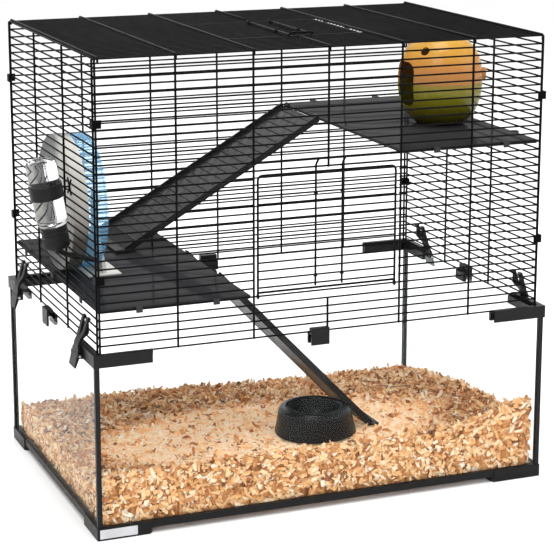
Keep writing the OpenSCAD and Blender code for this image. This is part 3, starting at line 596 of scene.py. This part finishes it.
def wire_coat(settings):
    """Black baked coating: glossy with a slight orange-peel."""
    return moulded("wire_coating", settings.colour, 0.40, grain=1400, relief=0.10, gloss=0.06, shine=0.02)


def along_axis(tree, axis, low, high):
    """0 at one place along an axis of the cage and 1 at another."""
    where = tree.nodes.new("ShaderNodeTexCoord")
    split = tree.nodes.new("ShaderNodeSeparateXYZ")
    level = add_node(tree, "ShaderNodeMapRange", {"From Min": low, "From Max": high})
    tree.links.new(where.outputs["Object"], split.inputs["Vector"])
    tree.links.new(split.outputs[axis], level.inputs["Value"])
    return level.outputs["Result"]


def multiply(tree, first, second, factor=1.0):
    """Two colours multiplied, the second as strong as factor."""
    mix = add_node(tree, "ShaderNodeMix", data_type="RGBA", blend_type="MULTIPLY")
    mix.inputs["Factor"].default_value = factor
    tree.links.new(first, mix.inputs["A"])
    tree.links.new(second, mix.inputs["B"])
    return mix.outputs["Result"]


def disc_with_painted_shade(colour):
    """Off-white wheel plastic with painted shade: the side wall is painted grey towards the back and cream
    towards the front, and painted darker towards the bottom.
    """
    material, tree, shader = new_material("disc_plastic")
    y, z = WHEEL_AT[1], WHEEL_AT[2]
    # painted shade: grey on the back of the side wall, where it faces away from the light
    grey = (0.13, 0.133, 0.136)
    side = ramp(tree, along_axis(tree, "Y", y + 60 * MM, y - 60 * MM), [
        (0.0, grey), (0.52, (0.19, 0.19, 0.19)), (0.72, tuple(colour)), (1.0, tuple(colour))])
    # painted shade: the colour is darkened towards the bottom of the wheel and left full towards the top
    rise = ramp(tree, along_axis(tree, "Z", z - 85 * MM, z + 60 * MM), [
        (0.0, (0.09, 0.09, 0.09)), (0.36, (0.19, 0.18, 0.17)), (0.6, (0.72, 0.71, 0.70)), (1.0, (1, 1, 1))])
    tree.links.new(multiply(tree, side, rise), shader.inputs["Base Color"])
    tree.links.new(to_range(tree, noise(tree, 150, 2), 0.32, 0.48), shader.inputs["Roughness"])
    bump(tree, shader, noise(tree, 500, 2), 0.06, 0.0002)
    shader.inputs["Specular IOR Level"].default_value = 0.3
    return material


def tinted_ring(colour):
    """Translucent blue plastic: each wall tints what is behind it and adds a little of its own colour."""
    material, tree, shader = new_material("ring_plastic")
    deep, pale = shades(colour, 0.15)
    tree.links.new(ramp(tree, noise(tree, 60, 3), [(0.3, deep), (0.7, pale)]), shader.inputs["Base Color"])
    tree.links.new(to_range(tree, noise(tree, 150, 2), 0.18, 0.30), shader.inputs["Roughness"])
    bump(tree, shader, noise(tree, 700, 2), 0.08, 0.0002)
    through = add_node(tree, "ShaderNodeBsdfTransparent", {"Color": (0.84, 0.94, 0.99, 1)})
    mix = add_node(tree, "ShaderNodeMixShader", {"Fac": 0.2})
    tree.links.new(through.outputs["BSDF"], mix.inputs[1])
    tree.links.new(shader.outputs["BSDF"], mix.inputs[2])
    tree.links.new(mix.outputs["Shader"], tree.nodes["Material Output"].inputs["Surface"])
    return material


def graded(name, low, high, stops, rough):
    """Glossy plastic whose colour runs from stop to stop between two heights."""
    material, tree, shader = new_material(name)
    tree.links.new(ramp(tree, along_axis(tree, "Z", low, high), stops), shader.inputs["Base Color"])
    tree.links.new(to_range(tree, noise(tree, 90, 3), rough * 0.85, rough * 1.25), shader.inputs["Roughness"])
    bump(tree, shader, noise(tree, 600, 2), 0.06, 0.0002)
    shader.inputs["Coat Weight"].default_value = 0.25
    shader.inputs["Coat Roughness"].default_value = 0.1
    shader.inputs["Specular IOR Level"].default_value = 0.2
    return material


def wood_shavings():
    """Pale softwood with a brown piece here and there; each shaving has its own tone and a long grain. Shavings
    in the middle of the bed also glow in their own colour, painted light that makes them look more brightly lit.
    """
    material, tree, shader = new_material("shavings")
    tone = add_node(tree, "ShaderNodeAttribute", attribute_name="tone")
    stops = [(0.0, (0.16, 0.045, 0.010)), (0.16, (0.50, 0.19, 0.052)), (0.42, (0.86, 0.45, 0.18)),
             (0.72, (0.98, 0.68, 0.37)), (1.0, (0.99, 0.90, 0.76))]
    base = ramp(tree, tone.outputs["Fac"], stops)
    grain = noise(tree, 420, 4, (1, 3.5, 1))
    streak = ramp(tree, grain, [(0.3, (0.72, 0.66, 0.60)), (0.62, (1, 1, 1))])
    wood = multiply(tree, base, streak, 0.8)
    tree.links.new(wood, shader.inputs["Base Color"])
    tree.links.new(to_range(tree, grain, 0.7, 0.9), shader.inputs["Roughness"])
    bump(tree, shader, grain, 0.35, 0.0006)
    # painted light: the shavings glow in their own colour, as strongly as their lift value, to brighten the
    # middle of the bed
    lift = add_node(tree, "ShaderNodeAttribute", attribute_name="lift")
    tree.links.new(wood, shader.inputs["Emission Color"])
    tree.links.new(lift.outputs["Fac"], shader.inputs["Emission Strength"])
    return material


MOULDED = {
    "trim": ("black_trim", 0.42, {"grain": 1100, "relief": 0.18, "shine": 0.1, "gloss": 0.14, "polish": 0.25}),
    "clip": ("clip_black", 0.5, {"grain": 1100, "relief": 0.15, "shine": 0.02, "gloss": 0.03, "polish": 0.0}),
    "shelf": ("shelf_plastic", 0.3, {"grain": 420, "relief": 0.04, "shine": 0.0, "gloss": 0.14, "polish": 0.05}),
    "ramp": ("ramp_plastic", 0.40, {"grain": 700, "relief": 0.15, "gloss": 0.10, "shine": 0.05}),
    "latch": ("latch_grey", 0.32, {"relief": 0.1, "gloss": 0.10, "shine": 0.05}),
    "drum": ("drum_plastic", 0.42, {"grain": 500, "relief": 0.08, "spread": 0.05, "shine": 0.4}),
    "rung": ("rung_plastic", 0.35, {"grain": 500, "relief": 0.06, "shine": 0.3}),
    "steel": ("pin_steel", 0.28, {"grain": 1500, "relief": 0.08, "metal": 1.0}),
    "plate": ("plate_silver", 0.34, {"grain": 1500, "relief": 0.1, "metal": 0.9}),
    "dish": ("dish_plastic", 0.34, {"grain": 500, "relief": 0.06, "gloss": 0.16, "shine": 0.12}),
}
SPECIAL = {
    "wire": lambda colours: wire_coat(bpy.context.scene.cage_wire),
    "disc": lambda colours: disc_with_painted_shade(colours.drum),
    "ring": lambda colours: tinted_ring(colours.ring),
    "glass": lambda colours: pane("tank_glass", (0.978, 0.985, 0.983), (0.90, 0.93, 0.92), 0.12),
    "bottle": lambda colours: clear("bottle_clear", (0.86, 0.87, 0.88), (0.80, 0.81, 0.82), ior=1.36),
    "shavings": lambda colours: wood_shavings(),
}
_made = {}


def finish(key):
    """The material of that key, made once: a moulded one in its own colour, or one of the special ones."""
    if key not in _made:
        colours = bpy.context.scene.cage_finish
        if key in MOULDED:
            name, rough, extra = MOULDED[key]
            _made[key] = moulded(name, getattr(colours, key), rough, **extra)
        else:
            _made[key] = SPECIAL[key](colours)
    return _made[key]


# ---------------------------------------------------------------- operators

class CAGE_OT_glass(bpy.types.Operator):
    """Five clear panes with ground edges"""

    bl_idname = "cage.glass"
    bl_label = "Glass panes"

    def execute(self, context):
        for node in ("base_glass", "front_glass", "back_glass", "left_glass", "right_glass"):
            softened(node, finish("glass"), 0.5 * MM)
        return {"FINISHED"}


class CAGE_OT_trim(bpy.types.Operator):
    """Rails, posts, feet, rim brackets and clips"""

    bl_idname = "cage.trim"
    bl_label = "Black trim"

    def execute(self, context):
        for side in ("front", "back", "left", "right"):
            softened("rail_" + side, finish("trim"), 0.7 * MM)
        for corner in CORNERS:
            softened("post_" + corner, finish("trim"), 0.6 * MM)
            softened("foot_" + corner, finish("trim"), 0.8 * MM)
            softened("bracket_" + corner, finish("trim"), 0.4 * MM)
        softened("rim_clips", finish("trim"), 0.5 * MM)
        softened("corner_clips", finish("clip"), 0.4 * MM)
        softened("foot_plate", finish("plate"), 0.25 * MM)
        return {"FINISHED"}


class CAGE_OT_side_latches(bpy.types.Operator):
    """Four grey latches and their pins"""

    bl_idname = "cage.side_latches"
    bl_label = "Side latches"

    def execute(self, context):
        for corner in CORNERS:
            softened("latch_" + corner, finish("latch"), 0.6 * MM)
        softened("latch_pins", finish("steel"), 0.2 * MM)
        return {"FINISHED"}


class CAGE_OT_wire_walls(bpy.types.Operator):
    """Four walls and the roof, each of welded round wire"""

    bl_idname = "cage.wire_walls"
    bl_label = "Wire walls and roof"

    def execute(self, context):
        sizes = context.scene.cage_wire
        builders = {
            "front_panel": lambda w: long_wall(w, sizes, -1, True),
            "back_panel": lambda w: long_wall(w, sizes, 1, False),
            "left_panel": lambda w: end_wall(w, sizes, -1),
            "right_panel": lambda w: end_wall(w, sizes, 1),
            "roof_panel": lambda w: roof(w, sizes),
        }
        for node, build in builders.items():
            wires = Wires(sizes.sides)
            build(wires)
            place(wires.piece(node + "_wires"), BODY_OF[node], SLOT_OF[node], finish("wire"), node)
        return {"FINISHED"}


class CAGE_OT_wire_doors(bpy.types.Operator):
    """Front and roof doors with their sliding latches"""

    bl_idname = "cage.wire_doors"
    bl_label = "Wire doors"

    def execute(self, context):
        sizes = context.scene.cage_wire
        front_pitch = row_z(1) - row_z(0)
        roof_pitch = roof_y(1) - roof_y(0)
        front_height = DOOR_ROWS * front_pitch - 6 * MM
        roof_height = (ROOF_LAST - ROOF_FIRST) * roof_pitch - 8 * MM
        front = Wires(sizes.sides)
        door(front, sizes, at_front, front_height, front_pitch, LEGS, (2, DOOR_ROWS - 3))
        top = Wires(sizes.sides)
        door(top, sizes, at_roof, roof_height, roof_pitch, ROOF_LEGS, (3, ROOF_LAST - ROOF_FIRST - 4))
        front_latch = Wires(sizes.sides)
        handle_z = DOOR_ROWS * front_pitch + 3.5 * MM
        sliding_latch(front_latch, sizes, at_front, LEGS, 8 * MM, handle_z, 9 * MM, 9 * MM)
        top_latch = Wires(sizes.sides)
        sliding_latch(top_latch, sizes, at_roof, ROOF_LEGS, 22 * MM, roof_height + 9 * MM, 3 * MM, 4 * MM)
        for node, wires in (("front_door", front), ("roof_door", top),
                            ("front_door_latch", front_latch), ("roof_door_latch", top_latch)):
            place(wires.piece(node + "_wires"), BODY_OF[node], SLOT_OF[node], finish("wire"), node)
        return {"FINISHED"}


class CAGE_OT_shelves(bpy.types.Operator):
    """Two glossy shelves"""

    bl_idname = "cage.shelves"
    bl_label = "Shelves"

    def execute(self, context):
        for node in ("lower_shelf", "upper_shelf"):
            softened(node, finish("shelf"), 0.8 * MM)
        return {"FINISHED"}


class CAGE_OT_ramps(bpy.types.Operator):
    """Two ribbed ramps"""

    bl_idname = "cage.ramps"
    bl_label = "Ramps"

    def execute(self, context):
        for node in ("upper_ramp", "lower_ramp"):
            softened(node, finish("ramp"), 0.35 * MM)
        return {"FINISHED"}


class CAGE_OT_wheel(bpy.types.Operator):
    """Running wheel: drum, translucent ring with rungs, stand, axle and nut"""

    bl_idname = "cage.wheel"
    bl_label = "Wheel"

    def execute(self, context):
        softened("wheel_drum", finish("disc"), 0.5 * MM)
        softened("wheel_ring", finish("ring"), 0.4 * MM)
        softened("wheel_stand", finish("drum"), 0.5 * MM)
        softened("wheel_axle", finish("steel"), 0.3 * MM)
        softened("wheel_nut", finish("steel"), 0.3 * MM)
        self.rungs()
        return {"FINISHED"}

    def rungs(self):
        """Half-round rungs on the inside of the running ring, evenly spaced round the axle."""
        low, high = corners_of("wheel_ring")
        radius = (high[2] - low[2]) / 2 - 2.4 * MM
        count = 96
        sides = 6
        turn = np.linspace(0, 2 * math.pi, count, endpoint=False)[:, None, None]
        t = np.linspace(0, 2 * math.pi, sides, endpoint=False)[None, None, :]
        along = np.array([low[0] + 0.6 * MM, high[0] - 0.6 * MM])[None, :, None]
        reach = radius - 0.9 * MM * np.cos(t)
        drift = 0.9 * MM * np.sin(t)
        y = WHEEL_AT[1] + reach * np.cos(turn) - drift * np.sin(turn)
        z = WHEEL_AT[2] + reach * np.sin(turn) + drift * np.cos(turn)
        points = np.stack(np.broadcast_arrays(along, y, z), axis=-1)
        strip = grid_faces(2, sides)
        quads = repeat_faces(strip, count, 2 * sides).tolist()
        ends = repeat_faces(np.arange(2 * sides).reshape(2, sides), count, 2 * sides).tolist()
        mesh = bpy.data.meshes.new("wheel_rungs")
        mesh.from_pydata(points.reshape(-1, 3).tolist(), [], quads + ends)
        tidy_mesh(mesh)
        shade(mesh)
        place(new_object("wheel_rungs", mesh), "wheel", "ring_plastic", finish("rung"))


class CAGE_OT_bottle(bpy.types.Operator):
    """Clear water bottle with its band, hook, ribbed cap, spout and ball"""

    bl_idname = "cage.bottle"
    bl_label = "Bottle"

    lean: bpy.props.FloatProperty(
        name="Lean", description="Lean of the bottle", default=math.radians(10),
        subtype="ANGLE", unit="ROTATION",
    )

    def execute(self, context):
        c, s = math.cos(self.lean), math.sin(self.lean)
        tilt = np.array([[c, 0, -s], [0, 1, 0], [s, 0, c]])
        low, high = corners_of("bottle_cap")
        foot = np.array([high[0] - 16.5 * MM * c, (low[1] + high[1]) / 2, low[2] + 16.5 * MM * s])
        self.body(foot, tilt)
        self.cap(foot, tilt)
        softened("bottle_band", finish("trim"), 0.4 * MM)
        softened("bottle_hook", finish("wire"), 0)
        softened("bottle_spout", finish("trim"), 0)
        softened("bottle_ball", finish("steel"), 0)
        return {"FINISHED"}

    def body(self, foot, tilt):
        """Smooth outside with a rounded shoulder and end, full of water, so it bends light as one body."""
        profile = np.array([(0, 16.2), (12, 16.2), (12, 27.9), (16.3, 28.7), (18.0, 30.8), (18.6, 33),
                            (18.6, 60), (18.6, 85), (18.6, 101), (18.4, 104.5), (17.4, 107.6), (15.0, 109.4),
                            (8, 110), (0, 110)]) * MM
        piece = lathe("bottle_body_smooth", profile, 96, foot, tilt)
        place(piece, "bottle", "bottle_clear", finish("bottle"), "bottle_body")

    def cap(self, foot, tilt):
        """Screw cap: a smooth skirt between ringed steps, with 48 fine grip ribs below them."""
        profile = np.array([(3.3, 0), (13, 0), (14.8, 0.9), (15.6, 2.4), (15.8, 14), (16.2, 15), (16.2, 17.2),
                            (15.5, 17.8), (15.5, 19.2), (16.3, 19.8), (16.3, 22.4), (15.6, 23), (15.6, 24.4),
                            (16.4, 25), (16.4, 27.2), (15.8, 28), (12.1, 28), (12.1, 16.1), (3.3, 16.1)]) * MM

        def ribs(t, r, z):
            band = (r > 15 * MM) & (z > 2 * MM) & (z < 14.5 * MM)
            return 1 + 0.02 * band * np.clip(np.cos(48 * t) * 2, -0.6, 1)

        piece = lathe("bottle_cap_ribbed", profile, 240, foot, tilt, ribs)
        place(piece, "bottle", "black_trim", finish("trim"), "bottle_cap")


class CAGE_OT_hut(bpy.types.Operator):
    """Round hut in two glossy halves"""

    bl_idname = "cage.hut"
    bl_label = "Hut"

    def execute(self, context):
        low, _ = corners_of("hut_base")
        middle, high = corners_of("hut_top")
        upper = graded("hut_upper", middle[2], high[2], [
            (0.0, (0.44, 0.20, 0.055)), (0.3, (0.52, 0.21, 0.050)), (0.6, (0.58, 0.28, 0.035)),
            (1.0, (0.62, 0.34, 0.04))], 0.24)
        lower = graded("hut_lower", low[2], middle[2], [
            (0.0, (0.030, 0.024, 0.002)), (0.35, (0.10, 0.088, 0.004)), (0.75, (0.20, 0.185, 0.010)),
            (0.93, (0.27, 0.21, 0.022)), (1.0, (0.33, 0.20, 0.035))], 0.24)
        softened("hut_top", upper, 0.5 * MM, 40)
        softened("hut_base", lower, 0.5 * MM, 40)
        return {"FINISHED"}


class CAGE_OT_dish(bpy.types.Operator):
    """Feeding dish with a softly three-lobed foot"""

    bl_idname = "cage.dish"
    bl_label = "Dish"

    def execute(self, context):
        low, high = corners_of("dish")
        middle = (low + high) / 2
        profile = np.array([(0, 0), (50, 0), (55.4, 0), (55.6, 0.2), (55.5, 1.2), (53.6, 8), (51.4, 16),
                            (49.6, 24), (48.2, 29.5), (46.4, 32.6), (43.0, 34.6), (39.6, 35.5), (37.2, 35.8),
                            (35.8, 35.4), (34.6, 33.5), (33.4, 28), (31, 20), (27, 12), (20, 7.4), (12, 5.6),
                            (0, 5)]) * MM

        def lobes(t, r, z):
            """Draws the skirt in three times round, most at the foot; the rim stays round."""
            depth = 0.06 * np.clip(1.25 - z / (30 * MM), 0, 1) * (r > 39 * MM)
            return 1 - (1 - np.cos(3 * t + 0.9)) / 2 * depth

        piece = lathe("dish_lobed", profile, 144, (middle[0], middle[1], low[2]), None, lobes)
        smooth_more = piece.modifiers.new("smooth", "SUBSURF")
        smooth_more.levels = 1
        smooth_more.render_levels = 1
        place(piece, "dish", "dish_plastic", finish("dish"), "dish")
        return {"FINISHED"}


class CAGE_OT_bedding(bpy.types.Operator):
    """A deep bed of curled wood shavings"""

    bl_idname = "cage.bedding"
    bl_label = "Bedding"

    def execute(self, context):
        settings = context.scene.cage_bedding
        self.random = np.random.default_rng(settings.seed)
        self.low, self.high = corners_of("bedding")
        self.middle = (self.low + self.high) / 2
        self.half = (self.high - self.low) / 2
        self.bed()
        self.shavings("bedding_shavings", settings.top_count, self.on_top, (7, 17), (2.4, 6.2), 0.75)
        self.shavings("bedding_heaped", settings.side_count, self.at_glass, (7, 16), (2.4, 6.2), 0.65)
        self.shavings("bedding_flakes", settings.flake_count, self.as_flakes, (2.5, 8), (1.2, 4.0), 0.3, 2)
        return {"FINISHED"}

    @staticmethod
    def smooth(a, b, x):
        """0 before a, 1 after b, and an even S between."""
        t = np.clip((x - a) / (b - a), 0, 1)
        return t * t * (3 - 2 * t)

    def height(self, x, y):
        """Level in the middle and round the dish and the ramp's toe, banked up at the front and the right."""
        u, v = (x - self.middle[0]) / self.half[0], (y - self.middle[1]) / self.half[1]
        bank = 30 * self.smooth(-0.72, -1, v) * (0.9 + 0.2 * self.smooth(0.3, 1, u))
        bank = bank + 24 * self.smooth(0.62, 1, u) * self.smooth(1, -0.4, v)
        bank = bank - 12 * self.smooth(0.5, 1, v) * self.smooth(-0.6, 0.6, u)
        toe_low, toe_high = corners_of("lower_ramp")
        beside = np.maximum(np.abs(x - toe_high[0] + 7 * MM) - 22 * MM,
                            np.abs(y - (toe_low[1] + toe_high[1]) / 2) - 67 * MM)
        clear_of = self.smooth(4 * MM, 24 * MM, self.past_dish(x, y)) * self.smooth(0, 18 * MM, beside)
        return 49.0 * MM + bank * MM * clear_of

    def past_dish(self, x, y):
        """Distance outside the dish's foot."""
        low, high = corners_of("dish")
        middle = (low + high) / 2
        return np.hypot(x - middle[0], y - middle[1]) - (high[0] - low[0]) / 2

    def bed(self):
        """The packed mass below the loose shavings: a lumpy top, straight sides and a flat bottom."""
        nx, ny = 210, 140
        inset = 3.5 * MM
        x = np.linspace(self.low[0] + inset, self.high[0] - inset, nx)[None, :]
        y = np.linspace(self.low[1] + inset, self.high[1] - inset, ny)[:, None]
        z = self.height(x, y) - 2.5 * MM
        for wave, size in ((0.021, 1.0), (0.012, 0.8), (0.0065, 0.6)):
            angle, shift = self.random.uniform(0, 6.283, (2, 5))
            for a, s in zip(angle, shift):
                z = z + size * 0.45 * MM * np.sin((x * math.cos(a) + y * math.sin(a)) * 6.283 / wave + s)
        top = np.stack(np.broadcast_arrays(x, y, z), axis=-1)
        floor = top.copy()
        floor[..., 2] = self.low[2]
        quads = grid_faces(ny, nx, close_cols=False)
        edge = np.concatenate([np.arange(nx), np.arange(1, ny) * nx + nx - 1,
                               (ny - 1) * nx + np.arange(nx - 2, -1, -1), np.arange(ny - 2, 0, -1) * nx])
        around = np.roll(edge, -1)
        count = nx * ny
        sides = np.stack([edge, around, around + count, edge + count], axis=-1)
        piece = surface("bedding_mass", np.concatenate([top.reshape(-1, 3), floor.reshape(-1, 3)]),
                        np.concatenate([quads, quads[:, ::-1] + count, sides[:, ::-1]]), 60)
        points = np.empty(3 * len(piece.data.vertices))
        piece.data.vertices.foreach_get("co", points)
        x, y, _ = points.reshape(-1, 3).T
        self.paint(piece, "tone", self.random.uniform(0.02, 0.45, len(x)) + 0.5 * self.oval(x, y))
        # painted light: glow over the middle of the bed
        self.paint(piece, "lift", PAINTED_GLOW * self.oval(x, y))
        place(piece, "cage", "shavings", finish("shavings"), "bedding")

    @staticmethod
    def paint(piece, name, values):
        """Stores one number for each point."""
        layer = piece.data.attributes.new(name, "FLOAT", "POINT")
        layer.data.foreach_set("value", values.astype(np.float32))

    def oval(self, x, y):
        """1 in the middle of the floor, 0 near the panes."""
        far = np.hypot((x - self.middle[0] + 0.01) / 0.25, (y - self.middle[1] + 0.035) / 0.125)
        return self.smooth(1.12, 0.8, far)

    def strewn(self, count, fine):
        """Points over the surface, off the dish: fine ones mostly in the middle oval, coarse ones round it."""
        x = self.random.uniform(self.low[0], self.high[0], 5 * count)
        y = self.random.uniform(self.low[1], self.high[1], 5 * count)
        oval = self.oval(x, y)
        wanted = 0.12 + 0.88 * oval if fine else 1 - 0.8 * oval
        clear = self.past_dish(x, y) > (-4 if fine else 3) * MM
        keep = np.flatnonzero(clear & (self.random.uniform(0, 1, 5 * count) < wanted))[:count]
        return x[keep], y[keep]

    def on_top(self, count):
        """Places and turns of shavings that lie on the surface."""
        x, y = self.strewn(count, False)
        count = len(x)
        place_at = np.stack([x, y, self.height(x, y) + self.random.uniform(-2.5, 1.5, count) * MM], axis=1)
        tilt = np.stack([self.random.normal(0, 0.5, count), self.random.normal(0, 0.42, count),
                         self.random.uniform(0, 6.283, count)], axis=1)
        return place_at, tilt

    def as_flakes(self, count):
        """Places and turns of small flakes that lie almost flat."""
        x, y = self.strewn(count, True)
        count = len(x)
        place_at = np.stack([x, y, self.height(x, y) + self.random.uniform(-2.4, -0.6, count) * MM], axis=1)
        tilt = np.stack([self.random.normal(0, 0.2, count), self.random.normal(0, 0.2, count),
                         self.random.uniform(0, 6.283, count)], axis=1)
        return place_at, tilt

    def at_glass(self, count):
        """Places and turns of shavings heaped against the four panes, more of them at the front."""
        wall = self.random.choice(4, count, p=(0.38, 0.20, 0.22, 0.20))
        deep = self.random.uniform(0, 3.2, count) * MM
        x = self.random.uniform(self.low[0], self.high[0], count)
        y = self.random.uniform(self.low[1], self.high[1], count)
        x = np.select([wall < 2, wall == 2], [x, self.low[0] + deep], self.high[0] - deep)
        y = np.select([wall == 0, wall == 1], [self.low[1] + deep, self.high[1] - deep], y)
        top = self.height(x, y)
        z = self.low[2] + 1 * MM + (top - self.low[2] - 1 * MM) * self.random.uniform(0, 1, count) ** 0.9
        stand = np.where(wall < 2, 0.0, math.pi / 2)
        lean = math.pi / 2 + self.random.normal(0, 0.35, count)
        tilt = np.stack([lean, self.random.uniform(0, 6.283, count), stand], axis=1)
        return np.stack([x, y, z], axis=1), tilt

    def shavings(self, name, count, where, lengths, widths, curls, steps=5):
        """Thin curled strips: along each, the strip turns through its own angle on its own radius, narrows
        towards both ends and skews a little. Each is moved in until it is clear of the panes."""
        place_at, tilt = where(count)
        count = len(place_at)
        length = self.random.uniform(*lengths, count) * MM
        width = self.random.uniform(*widths, count) * MM
        curl = self.random.choice([-1, 1], count) * self.random.gamma(2.2, curls, count).clip(0.1, 5.0)
        s = np.linspace(-0.5, 0.5, steps)[None, :]
        bend = curl[:, None] * s
        radius = (length / curl)[:, None]
        run = radius * np.sin(bend)
        rise = radius * (1 - np.cos(bend))
        taper = 1 - 0.6 * (2 * np.abs(s)) ** 3 * self.random.uniform(0.3, 1, (count, 1))
        skew = self.random.uniform(-0.5, 0.5, (count, 1)) * (2 * s) * width[:, None]
        half = width[:, None] / 2 * taper
        thick = 0.2 * MM
        side = np.array([-1, 1, 1, -1])[None, None, :]
        layer = np.array([-1, -1, 1, 1])[None, None, :]
        local = np.stack([
            run[..., None] - layer * thick * np.sin(bend)[..., None],
            skew[..., None] + side * half[..., None],
            rise[..., None] + layer * thick * np.cos(bend)[..., None],
        ], axis=-1)
        cx, cy, cz = np.cos(tilt).T
        sx, sy, sz = np.sin(tilt).T
        one, zero = np.ones(count), np.zeros(count)
        about_x = np.stack([one, zero, zero, zero, cx, -sx, zero, sx, cx], axis=1).reshape(-1, 3, 3)
        about_y = np.stack([cy, zero, sy, zero, one, zero, -sy, zero, cy], axis=1).reshape(-1, 3, 3)
        about_z = np.stack([cz, -sz, zero, sz, cz, zero, zero, zero, one], axis=1).reshape(-1, 3, 3)
        spin = np.stack([cy, -sy, zero, sy, cy, zero, zero, zero, one], axis=1).reshape(-1, 3, 3)
        turn = about_z @ about_x @ spin if where == self.at_glass else about_z @ about_y @ about_x
        points = np.einsum("nij,nskj->nski", turn, local) + place_at[:, None, None]
        low = self.low + 0.1 * MM
        high = np.append(self.high[:2] - 0.1 * MM, self.high[2] + 9 * MM)
        points += np.maximum(0, low - points.min(axis=(1, 2)))[:, None, None]
        points -= np.maximum(0, points.max(axis=(1, 2)) - high)[:, None, None]
        rings = grid_faces(steps, 4)
        ends = np.array([[3, 2, 1, 0], [4 * steps - 4, 4 * steps - 3, 4 * steps - 2, 4 * steps - 1]])
        faces = repeat_faces(np.concatenate([rings[:, ::-1], ends[:, ::-1]]), count, 4 * steps)
        mesh = bpy.data.meshes.new(name)
        mesh.from_pydata(points.reshape(-1, 3).tolist(), [], faces.tolist())
        shade(mesh, 60)
        piece = new_object(name, mesh)
        brown = self.random.uniform(0, 1, count) < (0.07 if where == self.as_flakes else 0.16)
        low_tone = 0.78 if where == self.as_flakes else 0.15
        pale = low_tone + self.random.beta(1.7, 1.5, count) * (1 - low_tone)
        tone = np.where(brown, self.random.uniform(0, 0.25, count), pale)
        self.paint(piece, "tone", np.repeat(tone, 4 * steps))
        # painted light: glow for shavings in the middle of the bed, none for those at the panes
        lift = PAINTED_GLOW * self.oval(place_at[:, 0], place_at[:, 1]) * (where != self.at_glass)
        self.paint(piece, "lift", np.repeat(lift, 4 * steps))
        place(piece, "cage", "shavings", finish("shavings"))


class CAGE_OT_stage(bpy.types.Operator):
    """Pale floor, soft light and the camera"""

    bl_idname = "cage.stage"
    bl_label = "Stage"

    def execute(self, context):
        scene = context.scene
        settings = scene.cage_stage
        scene.view_settings.view_transform = "Standard"
        world = bpy.data.worlds.new("studio")
        world.use_nodes = True
        world.node_tree.nodes["Background"].inputs["Color"].default_value = (1, 1, 1, 1)
        world.node_tree.nodes["Background"].inputs["Strength"].default_value = 1.0
        scene.world = world
        self.floor()
        self.lamp("key", (-1.4, -2.2, 2.6), 1.6, 38)
        self.lamp("fill", (2.2, -1.4, 1.6), 1.8, 14)
        self.lamp("rear", (0.6, 2.4, 2.2), 2.0, 22)
        self.lamp("top", (0, -0.2, 2.8), 1.6, 44)
        data = bpy.data.cameras.new("camera")
        data.lens = settings.lens
        data.sensor_width = 36
        data.shift_y = settings.shift_y
        camera = bpy.data.objects.new("camera", data)
        camera.location = settings.camera_at
        camera.rotation_euler = settings.camera_turn
        scene.collection.objects.link(camera)
        scene.camera = camera
        return {"FINISHED"}

    def floor(self):
        """A wide flat floor just below the feet."""
        size = 12.0
        mesh = bpy.data.meshes.new("floor")
        corners = [(-size, -size, 0), (size, -size, 0), (size, size, 0), (-size, size, 0)]
        mesh.from_pydata(corners, [], [(0, 1, 2, 3)])
        floor = new_object("floor", mesh)
        material, tree, shader = new_material("floor")
        tree.links.new(ramp(tree, noise(tree, 3, 2), [(0.3, (0.95, 0.95, 0.95)), (0.7, (0.97, 0.97, 0.97))]),
                       shader.inputs["Base Color"])
        shader.inputs["Roughness"].default_value = 0.7
        mesh.materials.append(material)

    def lamp(self, name, at, size, power):
        """A square soft lamp that faces the middle of the cage."""
        data = bpy.data.lights.new(name, "AREA")
        data.size = size
        data.energy = power
        lamp = bpy.data.objects.new(name, data)
        lamp.location = at
        facing = np.array([0, 0, 0.3]) - np.array(at)
        lamp.rotation_euler = (math.atan2(math.hypot(facing[0], facing[1]), -facing[2]), 0,
                               math.atan2(facing[0], -facing[1]) + math.pi)
        bpy.context.scene.collection.objects.link(lamp)


OPERATORS = (
    CAGE_OT_stage,
    CAGE_OT_glass,
    CAGE_OT_trim,
    CAGE_OT_side_latches,
    CAGE_OT_wire_walls,
    CAGE_OT_wire_doors,
    CAGE_OT_shelves,
    CAGE_OT_ramps,
    CAGE_OT_wheel,
    CAGE_OT_bottle,
    CAGE_OT_hut,
    CAGE_OT_dish,
    CAGE_OT_bedding,
)


class CAGE_PT_panel(bpy.types.Panel):
    """Lists the settings and the steps of the cage"""

    bl_idname = "CAGE_PT_panel"
    bl_label = "Hamster cage"
    bl_space_type = "VIEW_3D"
    bl_region_type = "UI"
    bl_category = "Cage"

    def draw(self, context):
        for key, group in SETTINGS.items():
            box = self.layout.box()
            box.label(text=group.__doc__)
            for field in group.__annotations__:
                box.prop(getattr(context.scene, key), field)
        for operator in OPERATORS:
            self.layout.operator(operator.bl_idname)


def register():
    """Registers the settings, operators and panel."""
    for key, group in SETTINGS.items():
        bpy.utils.register_class(group)
        setattr(bpy.types.Scene, key, bpy.props.PointerProperty(type=group))
    for operator in OPERATORS:
        bpy.utils.register_class(operator)
    bpy.utils.register_class(CAGE_PT_panel)


def unregister():
    """Undoes register."""
    bpy.utils.unregister_class(CAGE_PT_panel)
    for operator in reversed(OPERATORS):
        bpy.utils.unregister_class(operator)
    for key, group in SETTINGS.items():
        delattr(bpy.types.Scene, key)
        bpy.utils.unregister_class(group)


def main():
    """Makes every piece in turn."""
    register()
    for operator in OPERATORS:
        group, name = operator.bl_idname.split(".")
        getattr(getattr(bpy.ops, group), name)()


if __name__ == "__main__":
    main()
